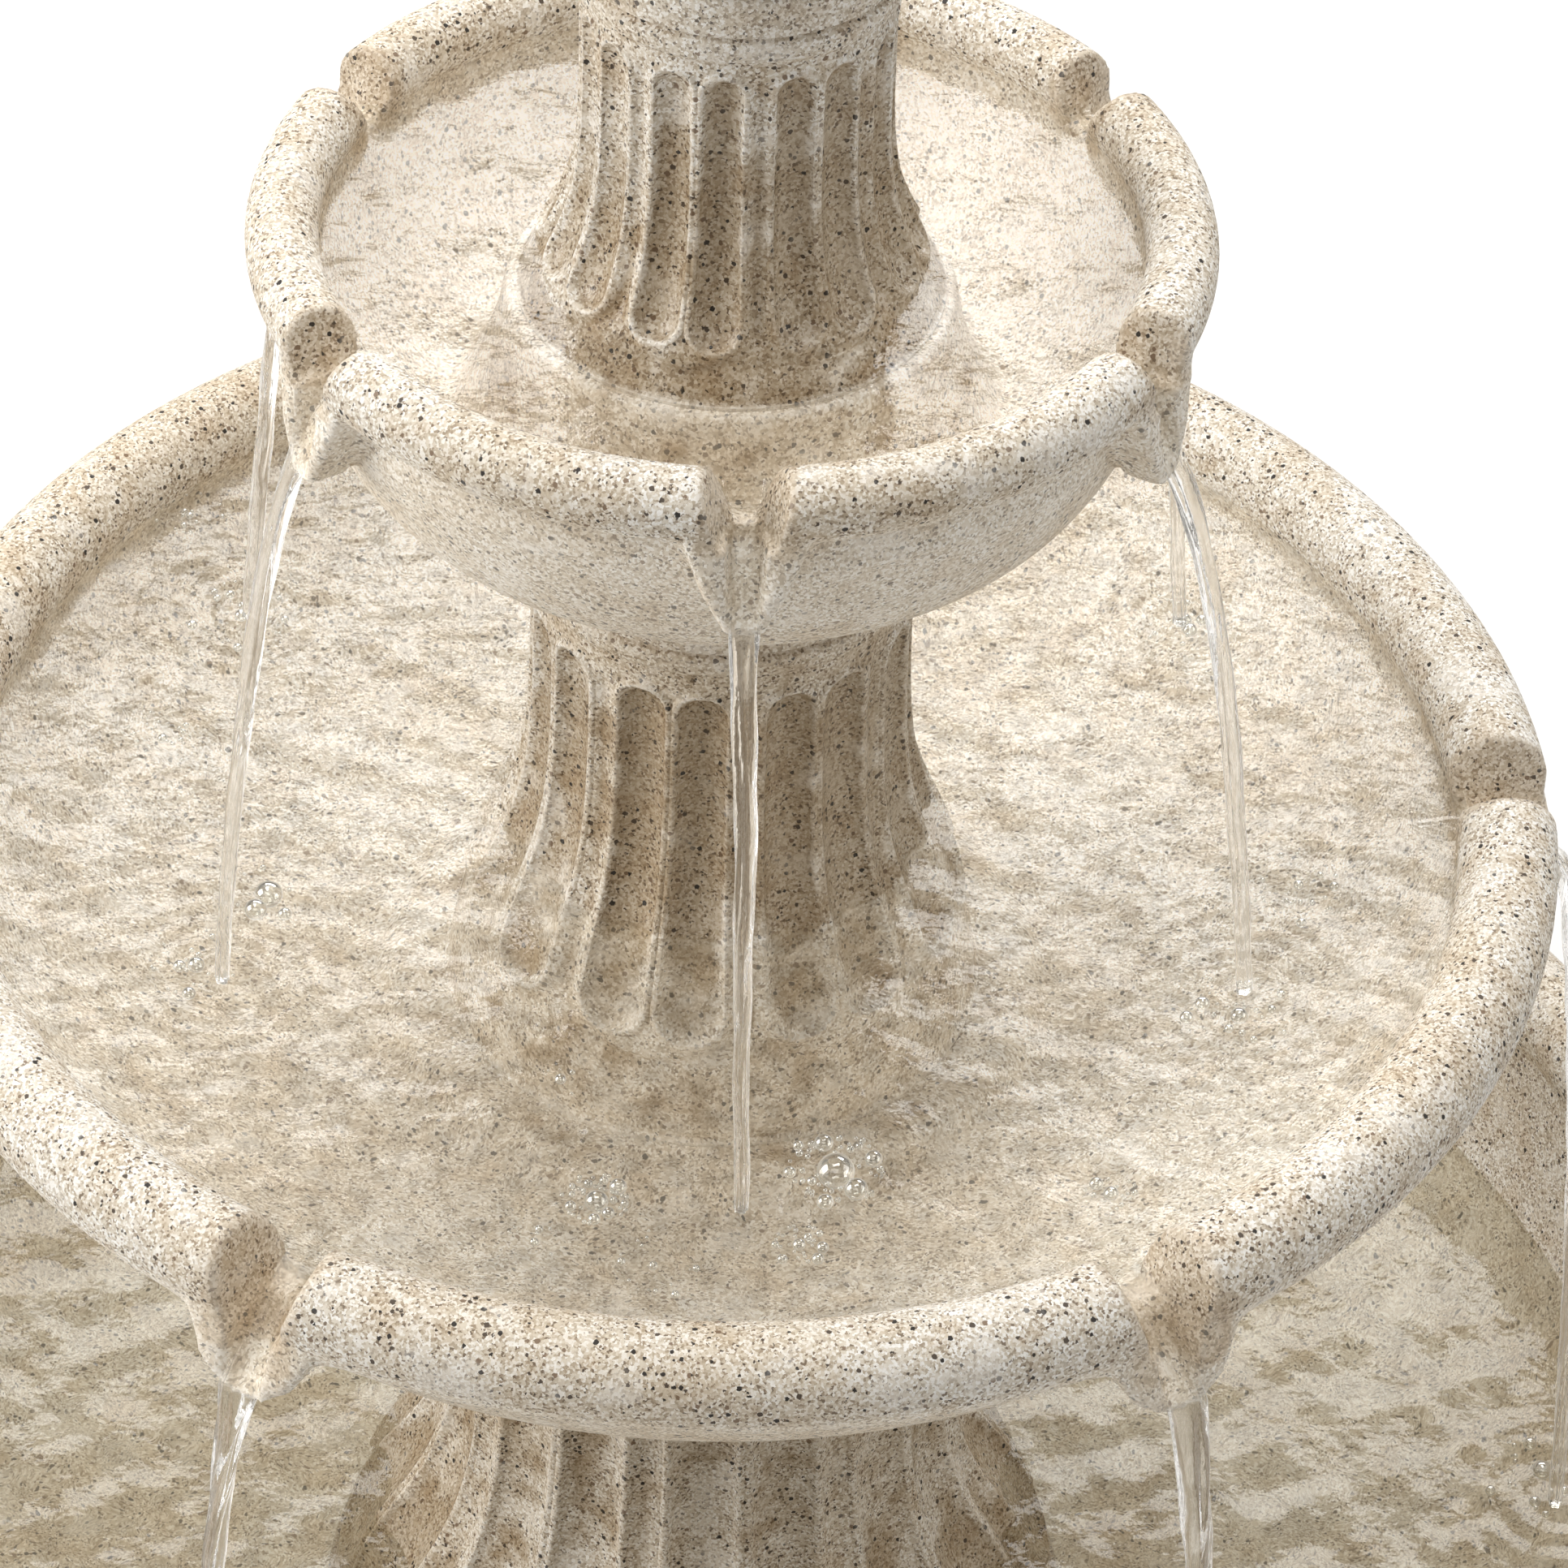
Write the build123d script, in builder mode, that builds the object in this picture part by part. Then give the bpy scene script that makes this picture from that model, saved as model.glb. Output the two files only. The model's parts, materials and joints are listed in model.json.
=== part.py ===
from build123d import *
from math import hypot
import os

# Tiered garden fountain. Millimetres, +Z up, origin on the ground under the middle of the pool.
# Three fluted columns carry a large bowl, a small bowl and a finial; a submersible pump in the
# hollow pedestal lifts the water through one hose on the centre line.

# ---------------------------------------------------------------- driving dimensions
FLUTE_PAIRS = 8  # round every column
FLUTE_SPREAD = 9.3  # degrees from a pair's middle ridge to each of its flutes
PAIR_ANGLE = 31.0  # the middle ridge of a pair, degrees from the front (-Y)
PEDESTAL_PAIR_ANGLE = 11.0
SPOUTS = 6  # round each bowl
SMALL_SPOUT_ANGLE = 2.5  # degrees from the front, towards +X
LARGE_SPOUT_ANGLE = 31.0  # the large bowl's spouts are staggered

POOL_RIM_R, POOL_RIM_Z, POOL_ROLL = 425, 182, 20
LARGE_RIM_R, LARGE_RIM_Z, LARGE_ROLL = 288, 490, 18.2
SMALL_RIM_R, SMALL_RIM_Z, SMALL_ROLL = 150, 740, 12.3

POOL_FLOOR_Z, POOL_FLOOR_T = 40, 12
PEDESTAL_PAD_T = 3
PEDESTAL_TOP_Z = 370
LARGE_PLINTH_Z = 406
MIDDLE_TOP_Z = 632
SMALL_PLINTH_Z = 718
COLLAR_TOP_Z = 864
GASKET_T = 2

HOSE_R, HOSE_BORE_R = 9.5, 6.5
HOSE_BOTTOM_Z, HOSE_TOP_Z = 148, 899
HUB_HOLE_R = 15
FIT = 0.05  # radial running clearance

OUTLET_X = 14  # the pump's upright outlet, measured from the impeller's axis
PUMP_X, PUMP_Y, PUMP_Z = -OUTLET_X, 6, 88  # the axis runs along Y, with the outlet on the centre line
OUTLET_TOP_Z = 143

os.makedirs("parts", exist_ok=True)


# ---------------------------------------------------------------- helpers
def save(part, label):
    """Name a finished piece and write it to its own file."""
    part.label = label
    export_step(part, f"parts/{label}.step")


def offset_points(points, distance):
    """Move each point of a meridian outwards, at right angles to the curve, by distance."""
    moved = []
    for i, (r, z) in enumerate(points):
        r0, z0 = points[max(i - 1, 0)]
        r1, z1 = points[min(i + 1, len(points) - 1)]
        run = hypot(r1 - r0, z1 - z0)
        moved.append((r + distance * (z1 - z0) / run, z - distance * (r1 - r0) / run))
    return moved


def around(angle_from_front):
    """Polar angle in degrees for an azimuth counted from the front (-Y) towards +X."""
    return angle_from_front - 90


def ring(r_in, r_out, z_low, z_high):
    """A plain flat ring round the centre line."""
    with BuildPart() as piece:
        with BuildSketch(Plane.XY.offset(z_low)):
            Circle(r_out)
            Circle(r_in, mode=Mode.SUBTRACT)
        extrude(amount=z_high - z_low)
    return piece.part


# ---------------------------------------------------------------- fluted columns
def flute_cutter(points, radius, depth):
    """A round-ended groove that follows a column's outline."""
    route = [(r, 0, z) for r, z in offset_points(points, radius - depth)]
    with BuildPart() as cutter:
        with BuildLine() as path:
            Spline(*route)
        with BuildSketch(Plane(origin=path.line @ 0, z_dir=path.line % 0)):
            Circle(radius)
        sweep(path=path.line)
        with Locations(path.line @ 0, path.line @ 1):
            Sphere(radius)
    return cutter.part


def fluted_column(shaft, collar, mouth, wall, flutes, pair_angle):
    """A hollow column: flared foot, fluted shaft and a plain collar with an open mouth."""
    collar_r, collar_z, top_z = collar
    mouth_r, lip_z = mouth
    flute_span, flute_r, flute_depth = flutes
    inside = [(r - wall, z) for r, z in reversed(shaft)]
    neck_r, neck_z = shaft[-1]
    groove = [(r, z) for r, z in shaft if flute_span[0] <= z <= flute_span[1]]
    cutter = flute_cutter(groove, flute_r, flute_depth)
    with BuildPart() as column:
        with BuildSketch(Plane.XZ):
            with BuildLine():
                Spline(*shaft)
                Polyline((neck_r, neck_z), (collar_r - 1, collar_z), (collar_r, collar_z + 4))
                Line((collar_r, collar_z + 4), (collar_r, top_z - 3))
                ThreePointArc((collar_r, top_z - 3), (collar_r - 0.9, top_z - 0.9), (collar_r - 3, top_z))
                Polyline((collar_r - 3, top_z), (mouth_r, top_z), (mouth_r, lip_z), inside[0])
                Spline(*inside)
                Line(inside[-1], shaft[0])
            make_face()
        revolve(axis=Axis.Z)
        for side in (-FLUTE_SPREAD, FLUTE_SPREAD):
            with PolarLocations(0, FLUTE_PAIRS, start_angle=around(pair_angle + side)):
                add(cutter, mode=Mode.SUBTRACT)
    return column


PEDESTAL_SHAFT = [(154, 43), (152, 54), (147, 70), (140, 90), (130, 112), (118, 131), (108, 152)]
PEDESTAL_SHAFT += [(101, 180), (96.5, 220), (94.5, 262), (94, 300), (95, 332)]
MIDDLE_SHAFT = [(100, 408), (98.5, 420), (95, 436), (89, 460), (80, 483), (73.5, 501)]
MIDDLE_SHAFT += [(69.5, 521), (67.6, 545), (67, 568), (67.2, 588), (68, 600)]
TOP_SHAFT = [(72.5, 720), (66.5, 733), (61, 744), (56.5, 755), (53, 770), (51.4, 786)]
TOP_SHAFT += [(51, 805), (51, 824), (51.6, 838)]


def make_pedestal():
    """The lowest column, hollow round the pump, with an arched hand hole at the back."""
    arch_w, arch_h, foot_r = 100, 92, PEDESTAL_SHAFT[0][0]
    collar = (99, 338, PEDESTAL_TOP_Z)
    flutes = ((70, 325), 25.6, 4)
    column = fluted_column(PEDESTAL_SHAFT, collar, (60, 352), 12, flutes, PEDESTAL_PAIR_ANGLE)
    with BuildPart() as pedestal:
        add(column.part)
        with BuildSketch(Plane(origin=(0, foot_r + 10, PEDESTAL_SHAFT[0][1]), x_dir=(-1, 0, 0), z_dir=(0, 1, 0))):
            with Locations((0, (arch_h - arch_w / 2) / 2)):
                Rectangle(arch_w, arch_h - arch_w / 2)
            with Locations((0, arch_h - arch_w / 2)):
                Circle(arch_w / 2)
        extrude(amount=-(foot_r + 10 - 70), mode=Mode.SUBTRACT)
    save(pedestal.part, "pedestal")


def make_middle_column():
    """The column that stands on the large bowl and carries the small one."""
    collar = (70, 604, MIDDLE_TOP_Z)
    flutes = ((436, 590), 17.5, 3)
    column = fluted_column(MIDDLE_SHAFT, collar, (50, 616), 10, flutes, PAIR_ANGLE)
    save(column.part, "middle_column")


def make_top_column():
    """The short column that stands on the small bowl and carries the finial."""
    collar = (54.5, 842, COLLAR_TOP_Z)
    flutes = ((733, 830), 12.5, 2.4)
    column = fluted_column(TOP_SHAFT, collar, (36, 852), 8, flutes, PAIR_ANGLE)
    save(column.part, "top_column")


# ---------------------------------------------------------------- bowls
def beak(rim_r, rim_z, roll, tip_r, tip_z, half_width, half_tip):
    """The solid lip that hangs from the rim roll, pointing along +X."""
    root_r = rim_r - 0.4 * roll
    levels = [
        (rim_z - 0.1 * roll, root_r, rim_r + 0.85 * roll, half_width),
        ((rim_z - roll + tip_z) / 2, root_r, tip_r, 0.5 * (half_width + half_tip)),
        (tip_z - 3, rim_r - 0.1 * roll, tip_r + 1, half_tip),
    ]
    with BuildPart() as solid:
        for z, r_in, r_out, half in levels:
            with BuildSketch(Plane.XY.offset(z)):
                with Locations(((r_in + r_out) / 2, 0)):
                    RectangleRounded(r_out - r_in, 2 * half, 3)
        loft(ruled=True)
    return solid.part


def channel(rim_r, rim_z, roll, tip_r, tip_z, crest_z, half_top, half_floor):
    """The space of the pouring notch: level through the rim, then steep down to the tip."""
    top_z = rim_z + roll + 8
    stations = [(rim_r - 2.2 * roll, crest_z), (rim_r - 0.1 * roll, crest_z), (tip_r + 3, tip_z - 4)]
    with BuildPart() as space:
        for r, floor_z in stations:
            flare = half_top + 0.1 * (top_z - rim_z)
            with BuildSketch(Plane(origin=(r, 0, 0), x_dir=(0, 1, 0), z_dir=(1, 0, 0))):
                Polygon(
                    (-half_floor, floor_z), (half_floor, floor_z), (flare, top_z), (-flare, top_z), align=None
                )
        loft(ruled=True)
    return space.part


def pouring_bowl(outline, hole_r, rim, spout_angle, spout):
    """A bowl of revolution with a rolled rim, cut and lipped at every spout."""
    rim_r, rim_z, roll = rim
    tip_r, tip_z, crest_z, half_beak, half_tip, half_top, half_floor = spout
    lip = beak(rim_r, rim_z, roll, tip_r, tip_z, half_beak, half_tip)
    notch = channel(rim_r, rim_z, roll, tip_r, tip_z, crest_z, half_top, half_floor)
    inside, hub, outside = outline
    with BuildPart() as bowl:
        with BuildSketch(Plane.XZ):
            with BuildLine():
                Line((rim_r, rim_z), inside[0])
                Spline(*inside)
                Polyline(inside[-1], *hub, outside[0])
                Spline(*outside)
                Line(outside[-1], (rim_r, rim_z))
            make_face()
            with Locations((rim_r, rim_z)):
                Circle(roll)
        revolve(axis=Axis.Z)
        with PolarLocations(0, SPOUTS, start_angle=around(spout_angle)):
            add(lip)
        with PolarLocations(0, SPOUTS, start_angle=around(spout_angle)):
            add(notch, mode=Mode.SUBTRACT)
        Cylinder(hole_r, 2000, mode=Mode.SUBTRACT)
    return bowl


def make_large_bowl():
    """The wide bowl: shallow dish, low plinth for the middle column, spigot underneath."""
    inside = [(274, 484), (263, 458), (239, 431), (195, 409), (155, 400), (122, 396)]
    hub = [(122, LARGE_PLINTH_Z), (10, LARGE_PLINTH_Z), (10, 396), (50, 396), (50, 360)]
    hub += [(57.5, 360), (57.5, PEDESTAL_TOP_Z + GASKET_T), (92, PEDESTAL_TOP_Z + GASKET_T)]
    outside = [(92, 383), (130, 385), (190, 394), (240, 413), (271, 440), (285, 470)]
    rim = (LARGE_RIM_R, LARGE_RIM_Z, LARGE_ROLL)
    spout = (311, 461, 482.5, 28, 8.5, 17, 5.5)
    bowl = pouring_bowl((inside, hub, outside), HUB_HOLE_R, rim, LARGE_SPOUT_ANGLE, spout)
    save(bowl.part, "large_bowl")


def make_small_bowl():
    """The small bowl: deep dish with a tall hollow boss under the top column."""
    inside = [(140.5, 734), (137, 716), (129, 695), (113, 675), (94, 666)]
    hub = [(85, 684), (79, 702), (76.5, SMALL_PLINTH_Z), (10, SMALL_PLINTH_Z), (10, 706), (66, 706), (66, 668)]
    hub += [(50, 652), (42, 640), (42, 624), (49, 624), (49, MIDDLE_TOP_Z + GASKET_T)]
    hub += [(66, MIDDLE_TOP_Z + GASKET_T)]
    outside = [(69, 637.5), (84, 644), (103, 650), (122, 660), (135, 675), (142.5, 691), (148.5, 711), (149.5, 728)]
    rim = (SMALL_RIM_R, SMALL_RIM_Z, SMALL_ROLL)
    spout = (164, 702, 732.5, 22, 6.5, 14.5, 4.5)
    bowl = pouring_bowl((inside, hub, outside), HUB_HOLE_R, rim, SMALL_SPOUT_ANGLE, spout)
    save(bowl.part, "small_bowl")


# ---------------------------------------------------------------- base pool
DRAIN_AT = (150, 200)
CORD_AT = (-150, 200)
DRAIN_HOLE_R, CORD_HOLE_R = 14, 12


def make_pool():
    """The catch pool: flat floor on a foot ring, curved wall and rolled rim."""
    under_z = POOL_FLOOR_Z - POOL_FLOOR_T
    with BuildPart() as pool:
        with BuildSketch(Plane.XZ):
            with BuildLine():
                Line((0, under_z), (0, POOL_FLOOR_Z))
                Line((0, POOL_FLOOR_Z), (296, POOL_FLOOR_Z))
                Spline((296, POOL_FLOOR_Z), (340, 52), (375, 81), (396, 122), (408, 176))
                Line((408, 176), (POOL_RIM_R, POOL_RIM_Z))
                Line((POOL_RIM_R, POOL_RIM_Z), (420, 168))
                Spline((420, 168), (408, 118), (388, 76), (355, 42), (316, 24))
                Polyline((316, 24), (312, 0), (280, 0), (276, under_z), (0, under_z))
            make_face()
            with Locations((POOL_RIM_R, POOL_RIM_Z)):
                Circle(POOL_ROLL)
        revolve(axis=Axis.Z)
        with Locations((*DRAIN_AT, POOL_FLOOR_Z)):
            Cylinder(DRAIN_HOLE_R, 60, mode=Mode.SUBTRACT)
        with Locations((*CORD_AT, POOL_FLOOR_Z)):
            Cylinder(CORD_HOLE_R, 60, mode=Mode.SUBTRACT)
        # a gap in the foot ring at the back lets the drained water and the cord out
        with Locations((0, 296, 9)):
            Box(60, 60, 18, mode=Mode.SUBTRACT)
    save(pool.part, "pool_basin")


def make_drain():
    """Flanged drain outlet, its washer and nut under the floor, and the rubber plug."""
    under_z = POOL_FLOOR_Z - POOL_FLOOR_T
    with BuildPart() as body:
        with BuildSketch(Plane.XY.offset(10)):
            with Locations(DRAIN_AT):
                Circle(DRAIN_HOLE_R - 0.1)
        extrude(amount=POOL_FLOOR_Z - 10)
        with BuildSketch(Plane.XY.offset(POOL_FLOOR_Z)):
            with Locations(DRAIN_AT):
                Circle(23)
        extrude(amount=3)
        fillet(body.edges().group_by(Axis.Z)[-1], 1.2)
        with Locations((*DRAIN_AT, POOL_FLOOR_Z)):
            Cylinder(9, 80, mode=Mode.SUBTRACT)
    save(body.part, "drain_outlet")
    with BuildPart() as washer:
        with BuildSketch(Plane.XY.offset(under_z - 2.5)):
            with Locations(DRAIN_AT):
                Circle(21)
                Circle(DRAIN_HOLE_R, mode=Mode.SUBTRACT)
        extrude(amount=2.5)
    save(washer.part, "drain_washer")
    with BuildPart() as nut:
        with BuildSketch(Plane.XY.offset(under_z - 10.5)):
            with Locations(DRAIN_AT):
                RegularPolygon(21, 6)
                Circle(DRAIN_HOLE_R, mode=Mode.SUBTRACT)
        extrude(amount=8)
        chamfer(nut.faces().sort_by(Axis.Z)[0].outer_wire().edges(), 0.8)
    save(nut.part, "drain_nut")
    with BuildPart() as plug:
        with BuildSketch(Plane.XY.offset(26)):
            with Locations(DRAIN_AT):
                Circle(9 - FIT)
        extrude(amount=POOL_FLOOR_Z + 3 - 26)
        chamfer(plug.edges().group_by(Axis.Z)[0], 1)
        with BuildSketch(Plane.XY.offset(POOL_FLOOR_Z + 3)):
            with Locations(DRAIN_AT):
                Circle(14)
        extrude(amount=4)
        fillet(plug.edges().group_by(Axis.Z)[-1], 1.5)
        # pull lug with a finger hole
        with BuildSketch(Plane(origin=(*DRAIN_AT, POOL_FLOOR_Z + 7), x_dir=(1, 0, 0), z_dir=(0, -1, 0))):
            with Locations((0, 5)):
                SlotOverall(20, 14, rotation=90)
                Circle(4, mode=Mode.SUBTRACT)
            with Locations((0, -10)):
                Rectangle(40, 20, mode=Mode.SUBTRACT)
        extrude(amount=2.5, both=True)
    save(plug.part, "drain_plug")


def make_cord_grommet():
    """Rubber bush that closes the floor hole round the pump's cord."""
    under_z = POOL_FLOOR_Z - POOL_FLOOR_T
    with BuildPart() as bush:
        with BuildSketch(Plane.XY.offset(under_z)):
            with Locations(CORD_AT):
                Circle(CORD_HOLE_R - FIT)
        extrude(amount=POOL_FLOOR_T)
        for z, height in ((under_z - 3, 3), (POOL_FLOOR_Z, 3)):
            with BuildSketch(Plane.XY.offset(z)):
                with Locations(CORD_AT):
                    Circle(16)
            extrude(amount=height)
        fillet(bush.edges().group_by(Axis.Z)[-1], 1)
        with Locations((*CORD_AT, POOL_FLOOR_Z)):
            Cylinder(3.5, 80, mode=Mode.SUBTRACT)
    save(bush.part, "cord_grommet")


# ---------------------------------------------------------------- finial and seals
def make_finial():
    """Turned bud on a disc foot, bored for the outlet tube, with a spigot underneath."""
    foot_z = COLLAR_TOP_Z + GASKET_T
    with BuildPart() as finial:
        with BuildSketch(Plane.XZ):
            with BuildLine():
                Polyline((12, 1004), (12, 856), (35, 856), (35, foot_z), (52, foot_z))
                Spline((52, foot_z), (59, foot_z + 8), (57, foot_z + 19), (44, foot_z + 27))
                Spline((44, foot_z + 27), (31, 901), (30, 908), (41, 919), (50, 938), (48, 962), (33, 984))
                Spline((33, 984), (21, 995), (17, 1004))
                Line((17, 1004), (12, 1004))
            make_face()
        revolve(axis=Axis.Z)
    save(finial.part, "finial")


def make_outlet_tube():
    """Rigid tube in the finial: a socket for the hose below, a rounded mouth above."""
    with BuildPart() as tube:
        with BuildSketch(Plane.XZ):
            with BuildLine():
                Polyline((HOSE_R + FIT, 868), (12 - FIT, 868), (12 - FIT, 1006), (15, 1006), (15, 1010))
                ThreePointArc((15, 1010), (13.5, 1013), (10, 1014))
                Polyline((10, 1014), (5, 1014), (5, 900), (HOSE_R + FIT, 900), (HOSE_R + FIT, 868))
            make_face()
        revolve(axis=Axis.Z)
    save(tube.part, "outlet_tube")


def make_seals():
    """Flat gaskets between the stone pieces."""
    save(ring(60, 94, PEDESTAL_TOP_Z, PEDESTAL_TOP_Z + GASKET_T), "large_bowl_gasket")
    save(ring(91, 99, LARGE_PLINTH_Z, LARGE_PLINTH_Z + GASKET_T), "middle_column_gasket")
    save(ring(51, 65, MIDDLE_TOP_Z, MIDDLE_TOP_Z + GASKET_T), "small_bowl_gasket")
    save(ring(65, 71.5, SMALL_PLINTH_Z, SMALL_PLINTH_Z + GASKET_T), "top_column_gasket")
    save(ring(37, 50, COLLAR_TOP_Z, COLLAR_TOP_Z + GASKET_T), "finial_gasket")


def make_pedestal_pads():
    """Four rubber levelling pads under the pedestal's foot."""
    with BuildPart() as pads:
        with BuildSketch(Plane.XY.offset(POOL_FLOOR_Z)):
            with PolarLocations(148, 4, start_angle=45):
                Rectangle(10, 34)
        extrude(amount=PEDESTAL_PAD_T)
    save(pads.part, "pedestal_pads")


def make_hub_grommet(label, hub_low, hub_high):
    """Rubber bush that seals a bowl's centre hole round the hose."""
    with BuildPart() as bush:
        with BuildSketch(Plane.XZ):
            with BuildLine():
                Polyline(
                    (HOSE_R + FIT, hub_low - 4), (20, hub_low - 4), (20, hub_low), (HUB_HOLE_R - FIT, hub_low),
                    (HUB_HOLE_R - FIT, hub_high), (21, hub_high), (21, hub_high + 3), (14, hub_high + 8),
                    (HOSE_R + FIT, hub_high + 8), close=True,
                )
            make_face()
        revolve(axis=Axis.Z)
    save(bush.part, label)


# ---------------------------------------------------------------- water line
def make_hose():
    """One straight clear hose from the pump to the finial."""
    save(ring(HOSE_BORE_R, HOSE_R, HOSE_BOTTOM_Z, HOSE_TOP_Z), "riser_hose")


def make_outlet_adapter():
    """Screw-on collar and hose barb above the pump's outlet."""
    crest_r, root_r, bore_r = HOSE_BORE_R - FIT, HOSE_BORE_R - FIT - 0.6, 4.6
    socket_r, collar_r = 10 + FIT, 14
    collar_low, seat_z, barb_top = 128, OUTLET_TOP_Z, HOSE_BOTTOM_Z + 25
    ridges = []
    for i in range(4):
        z = HOSE_BOTTOM_Z + 3 + 5 * i
        ridges += [(root_r, z), (crest_r, z), (root_r, z + 4)]
    with BuildPart() as adapter:
        with BuildSketch(Plane.XZ):
            with BuildLine():
                Polyline(
                    (socket_r, collar_low), (collar_r, collar_low), (collar_r, seat_z), (11, HOSE_BOTTOM_Z),
                    (root_r, HOSE_BOTTOM_Z), *ridges, (root_r, barb_top), (bore_r, barb_top),
                    (bore_r, seat_z), (socket_r, seat_z), close=True,
                )
            make_face()
        revolve(axis=Axis.Z)
        # finger grooves round the collar
        with PolarLocations(collar_r, 12):
            with Locations((0, 0, collar_low + 6)):
                Cylinder(0.9, 12, mode=Mode.SUBTRACT)
    save(adapter.part, "outlet_adapter")


def make_hose_clamp():
    """Worm-drive band round the hose on the barb, and its screw."""
    low, high = HOSE_BOTTOM_Z + 8, HOSE_BOTTOM_Z + 17
    with BuildPart() as band:
        with BuildSketch(Plane.XY.offset(low)):
            Circle(HOSE_R + FIT + 0.8)
            with Locations((HOSE_R + 3, 0)):
                Rectangle(6, 11)
            Circle(HOSE_R + FIT, mode=Mode.SUBTRACT)
        extrude(amount=high - low)
        with Locations((HOSE_R + 3.4, 0, (low + high) / 2)):
            Cylinder(2.1, 40, rotation=(90, 0, 0), mode=Mode.SUBTRACT)
    save(band.part, "hose_clamp")
    with BuildPart() as screw:
        with BuildSketch(Plane(origin=(HOSE_R + 3.4, 8, (low + high) / 2), x_dir=(1, 0, 0), z_dir=(0, -1, 0))):
            Circle(2.1 - FIT)
        extrude(amount=15)
        with BuildSketch(Plane(origin=(HOSE_R + 3.4, -5.6, (low + high) / 2), x_dir=(1, 0, 0), z_dir=(0, -1, 0))):
            RegularPolygon(3.4, 6)
        extrude(amount=4)
        with Locations((HOSE_R + 3.4, -9.6, (low + high) / 2)):
            Box(5, 1.6, 0.9, mode=Mode.SUBTRACT)
    save(screw.part, "hose_clamp_screw")


# ---------------------------------------------------------------- submersible pump
# Stations along the impeller's axis, counted from the pump's own centre towards the back.
BODY_Y = (-86, -17)
COVER_Y = (-17, 6)
CASE_W, CASE_H = 72, 76
WELL_R, WELL_WALL, WELL_END = 15, 1.5, -74
SHAFT_R = 2


def across(y, dx=0, dz=0):
    """A plane square to the impeller's axis: its x runs to -X and its y runs up."""
    return Plane(origin=(PUMP_X + dx, PUMP_Y + y, PUMP_Z + dz), x_dir=(-1, 0, 0), z_dir=(0, 1, 0))


def axial_ring(r_in, r_out, y_low, y_high):
    """A ring round the impeller's axis."""
    with BuildPart() as piece:
        with BuildSketch(across(y_low)):
            Circle(r_out)
            Circle(r_in, mode=Mode.SUBTRACT)
        extrude(amount=y_high - y_low)
    return piece.part


def make_pump_body():
    """Moulded motor housing with the blind rotor well in its front face."""
    with BuildPart() as body:
        with BuildSketch(across(BODY_Y[0])):
            RectangleRounded(CASE_W, CASE_H, 9)
        extrude(amount=BODY_Y[1] - BODY_Y[0])
        fillet(body.faces().sort_by(Axis.Y)[0].edges(), 4)
        with BuildSketch(across(BODY_Y[0] + 5)):
            RectangleRounded(CASE_W - 10, CASE_H - 10, 6)
        extrude(amount=BODY_Y[1] - BODY_Y[0] - 12, mode=Mode.SUBTRACT)
        with BuildSketch(across(WELL_END - WELL_WALL)):
            Circle(WELL_R + WELL_WALL)
        extrude(amount=BODY_Y[1] - WELL_END + WELL_WALL)
        with BuildSketch(across(WELL_END)):
            Circle(WELL_R)
        extrude(amount=BODY_Y[1] - WELL_END, mode=Mode.SUBTRACT)
        # socket for the cord gland in the back wall
        with BuildSketch(across(BODY_Y[0] - 1, dz=24)):
            Circle(6)
        extrude(amount=7, mode=Mode.SUBTRACT)
        # cooling ribs along both sides
        for side in (-1, 1):
            for step in range(6):
                with Locations((PUMP_X + side * CASE_W / 2, PUMP_Y - 50, PUMP_Z - 20 + 8 * step)):
                    Box(2.4, 46, 2.4)
        # threaded holes for the casing screws
        with Locations(across(BODY_Y[1])):
            with GridLocations(56, 60, 2, 2):
                Cylinder(1.6, 24, mode=Mode.SUBTRACT)
    save(body.part, "pump_body")


def make_motor():
    """Laminated stator core and its two winding heads, round the rotor well."""
    with BuildPart() as core:
        with BuildSketch(across(-64)):
            RectangleRounded(54, 54, 4)
            Circle(WELL_R + WELL_WALL + 0.3, mode=Mode.SUBTRACT)
            with GridLocations(50, 50, 2, 2):
                Circle(2, mode=Mode.SUBTRACT)
        extrude(amount=28)
    save(core.part, "stator_core")
    with BuildPart() as coils:
        for y in (-73, -35.5):
            with BuildSketch(across(y)):
                Circle(26)
                Circle(WELL_R + WELL_WALL + 0.3, mode=Mode.SUBTRACT)
            extrude(amount=8.5)
        fillet(coils.edges().filter_by(GeomType.CIRCLE), 1.5)
    save(coils.part, "stator_windings")


def make_rotor():
    """Ring magnet on the impeller's hollow stem, with curved vanes on a back plate."""
    save(axial_ring(4.5, 12.5, -68, -27), "rotor_magnet")
    with BuildPart() as wheel:
        with BuildSketch(across(-70)):
            Circle(4.5 - FIT)
        extrude(amount=67)
        with BuildSketch(across(-14.5)):
            Circle(19)
        extrude(amount=2.5)
        with BuildSketch(across(-12)):
            with PolarLocations(0, 6):
                with BuildLine():
                    ThreePointArc((3.5, -0.9), (11, 2.6), (18.4, 9))
                    Line((18.4, 9), (17.4, 10.2))
                    ThreePointArc((17.4, 10.2), (10.4, 4.4), (3.5, 0.9))
                    Line((3.5, 0.9), (3.5, -0.9))
                make_face()
        extrude(amount=9)
        with BuildSketch(across(-71)):
            Circle(SHAFT_R + FIT)
        extrude(amount=80, mode=Mode.SUBTRACT)
    save(wheel.part, "impeller")


def make_shaft():
    """Ceramic pin that the rotor turns on, held in a rubber bush at each end."""
    with BuildPart() as pin:
        with BuildSketch(across(-73.5)):
            Circle(SHAFT_R)
        extrude(amount=75.5)
    save(pin.part, "impeller_shaft")
    save(axial_ring(SHAFT_R + 0.01, 8, WELL_END + 0.2, -70.3), "rear_shaft_bush")
    save(axial_ring(SHAFT_R + 0.01, 5, -2.5, 2), "front_shaft_bush")


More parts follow.
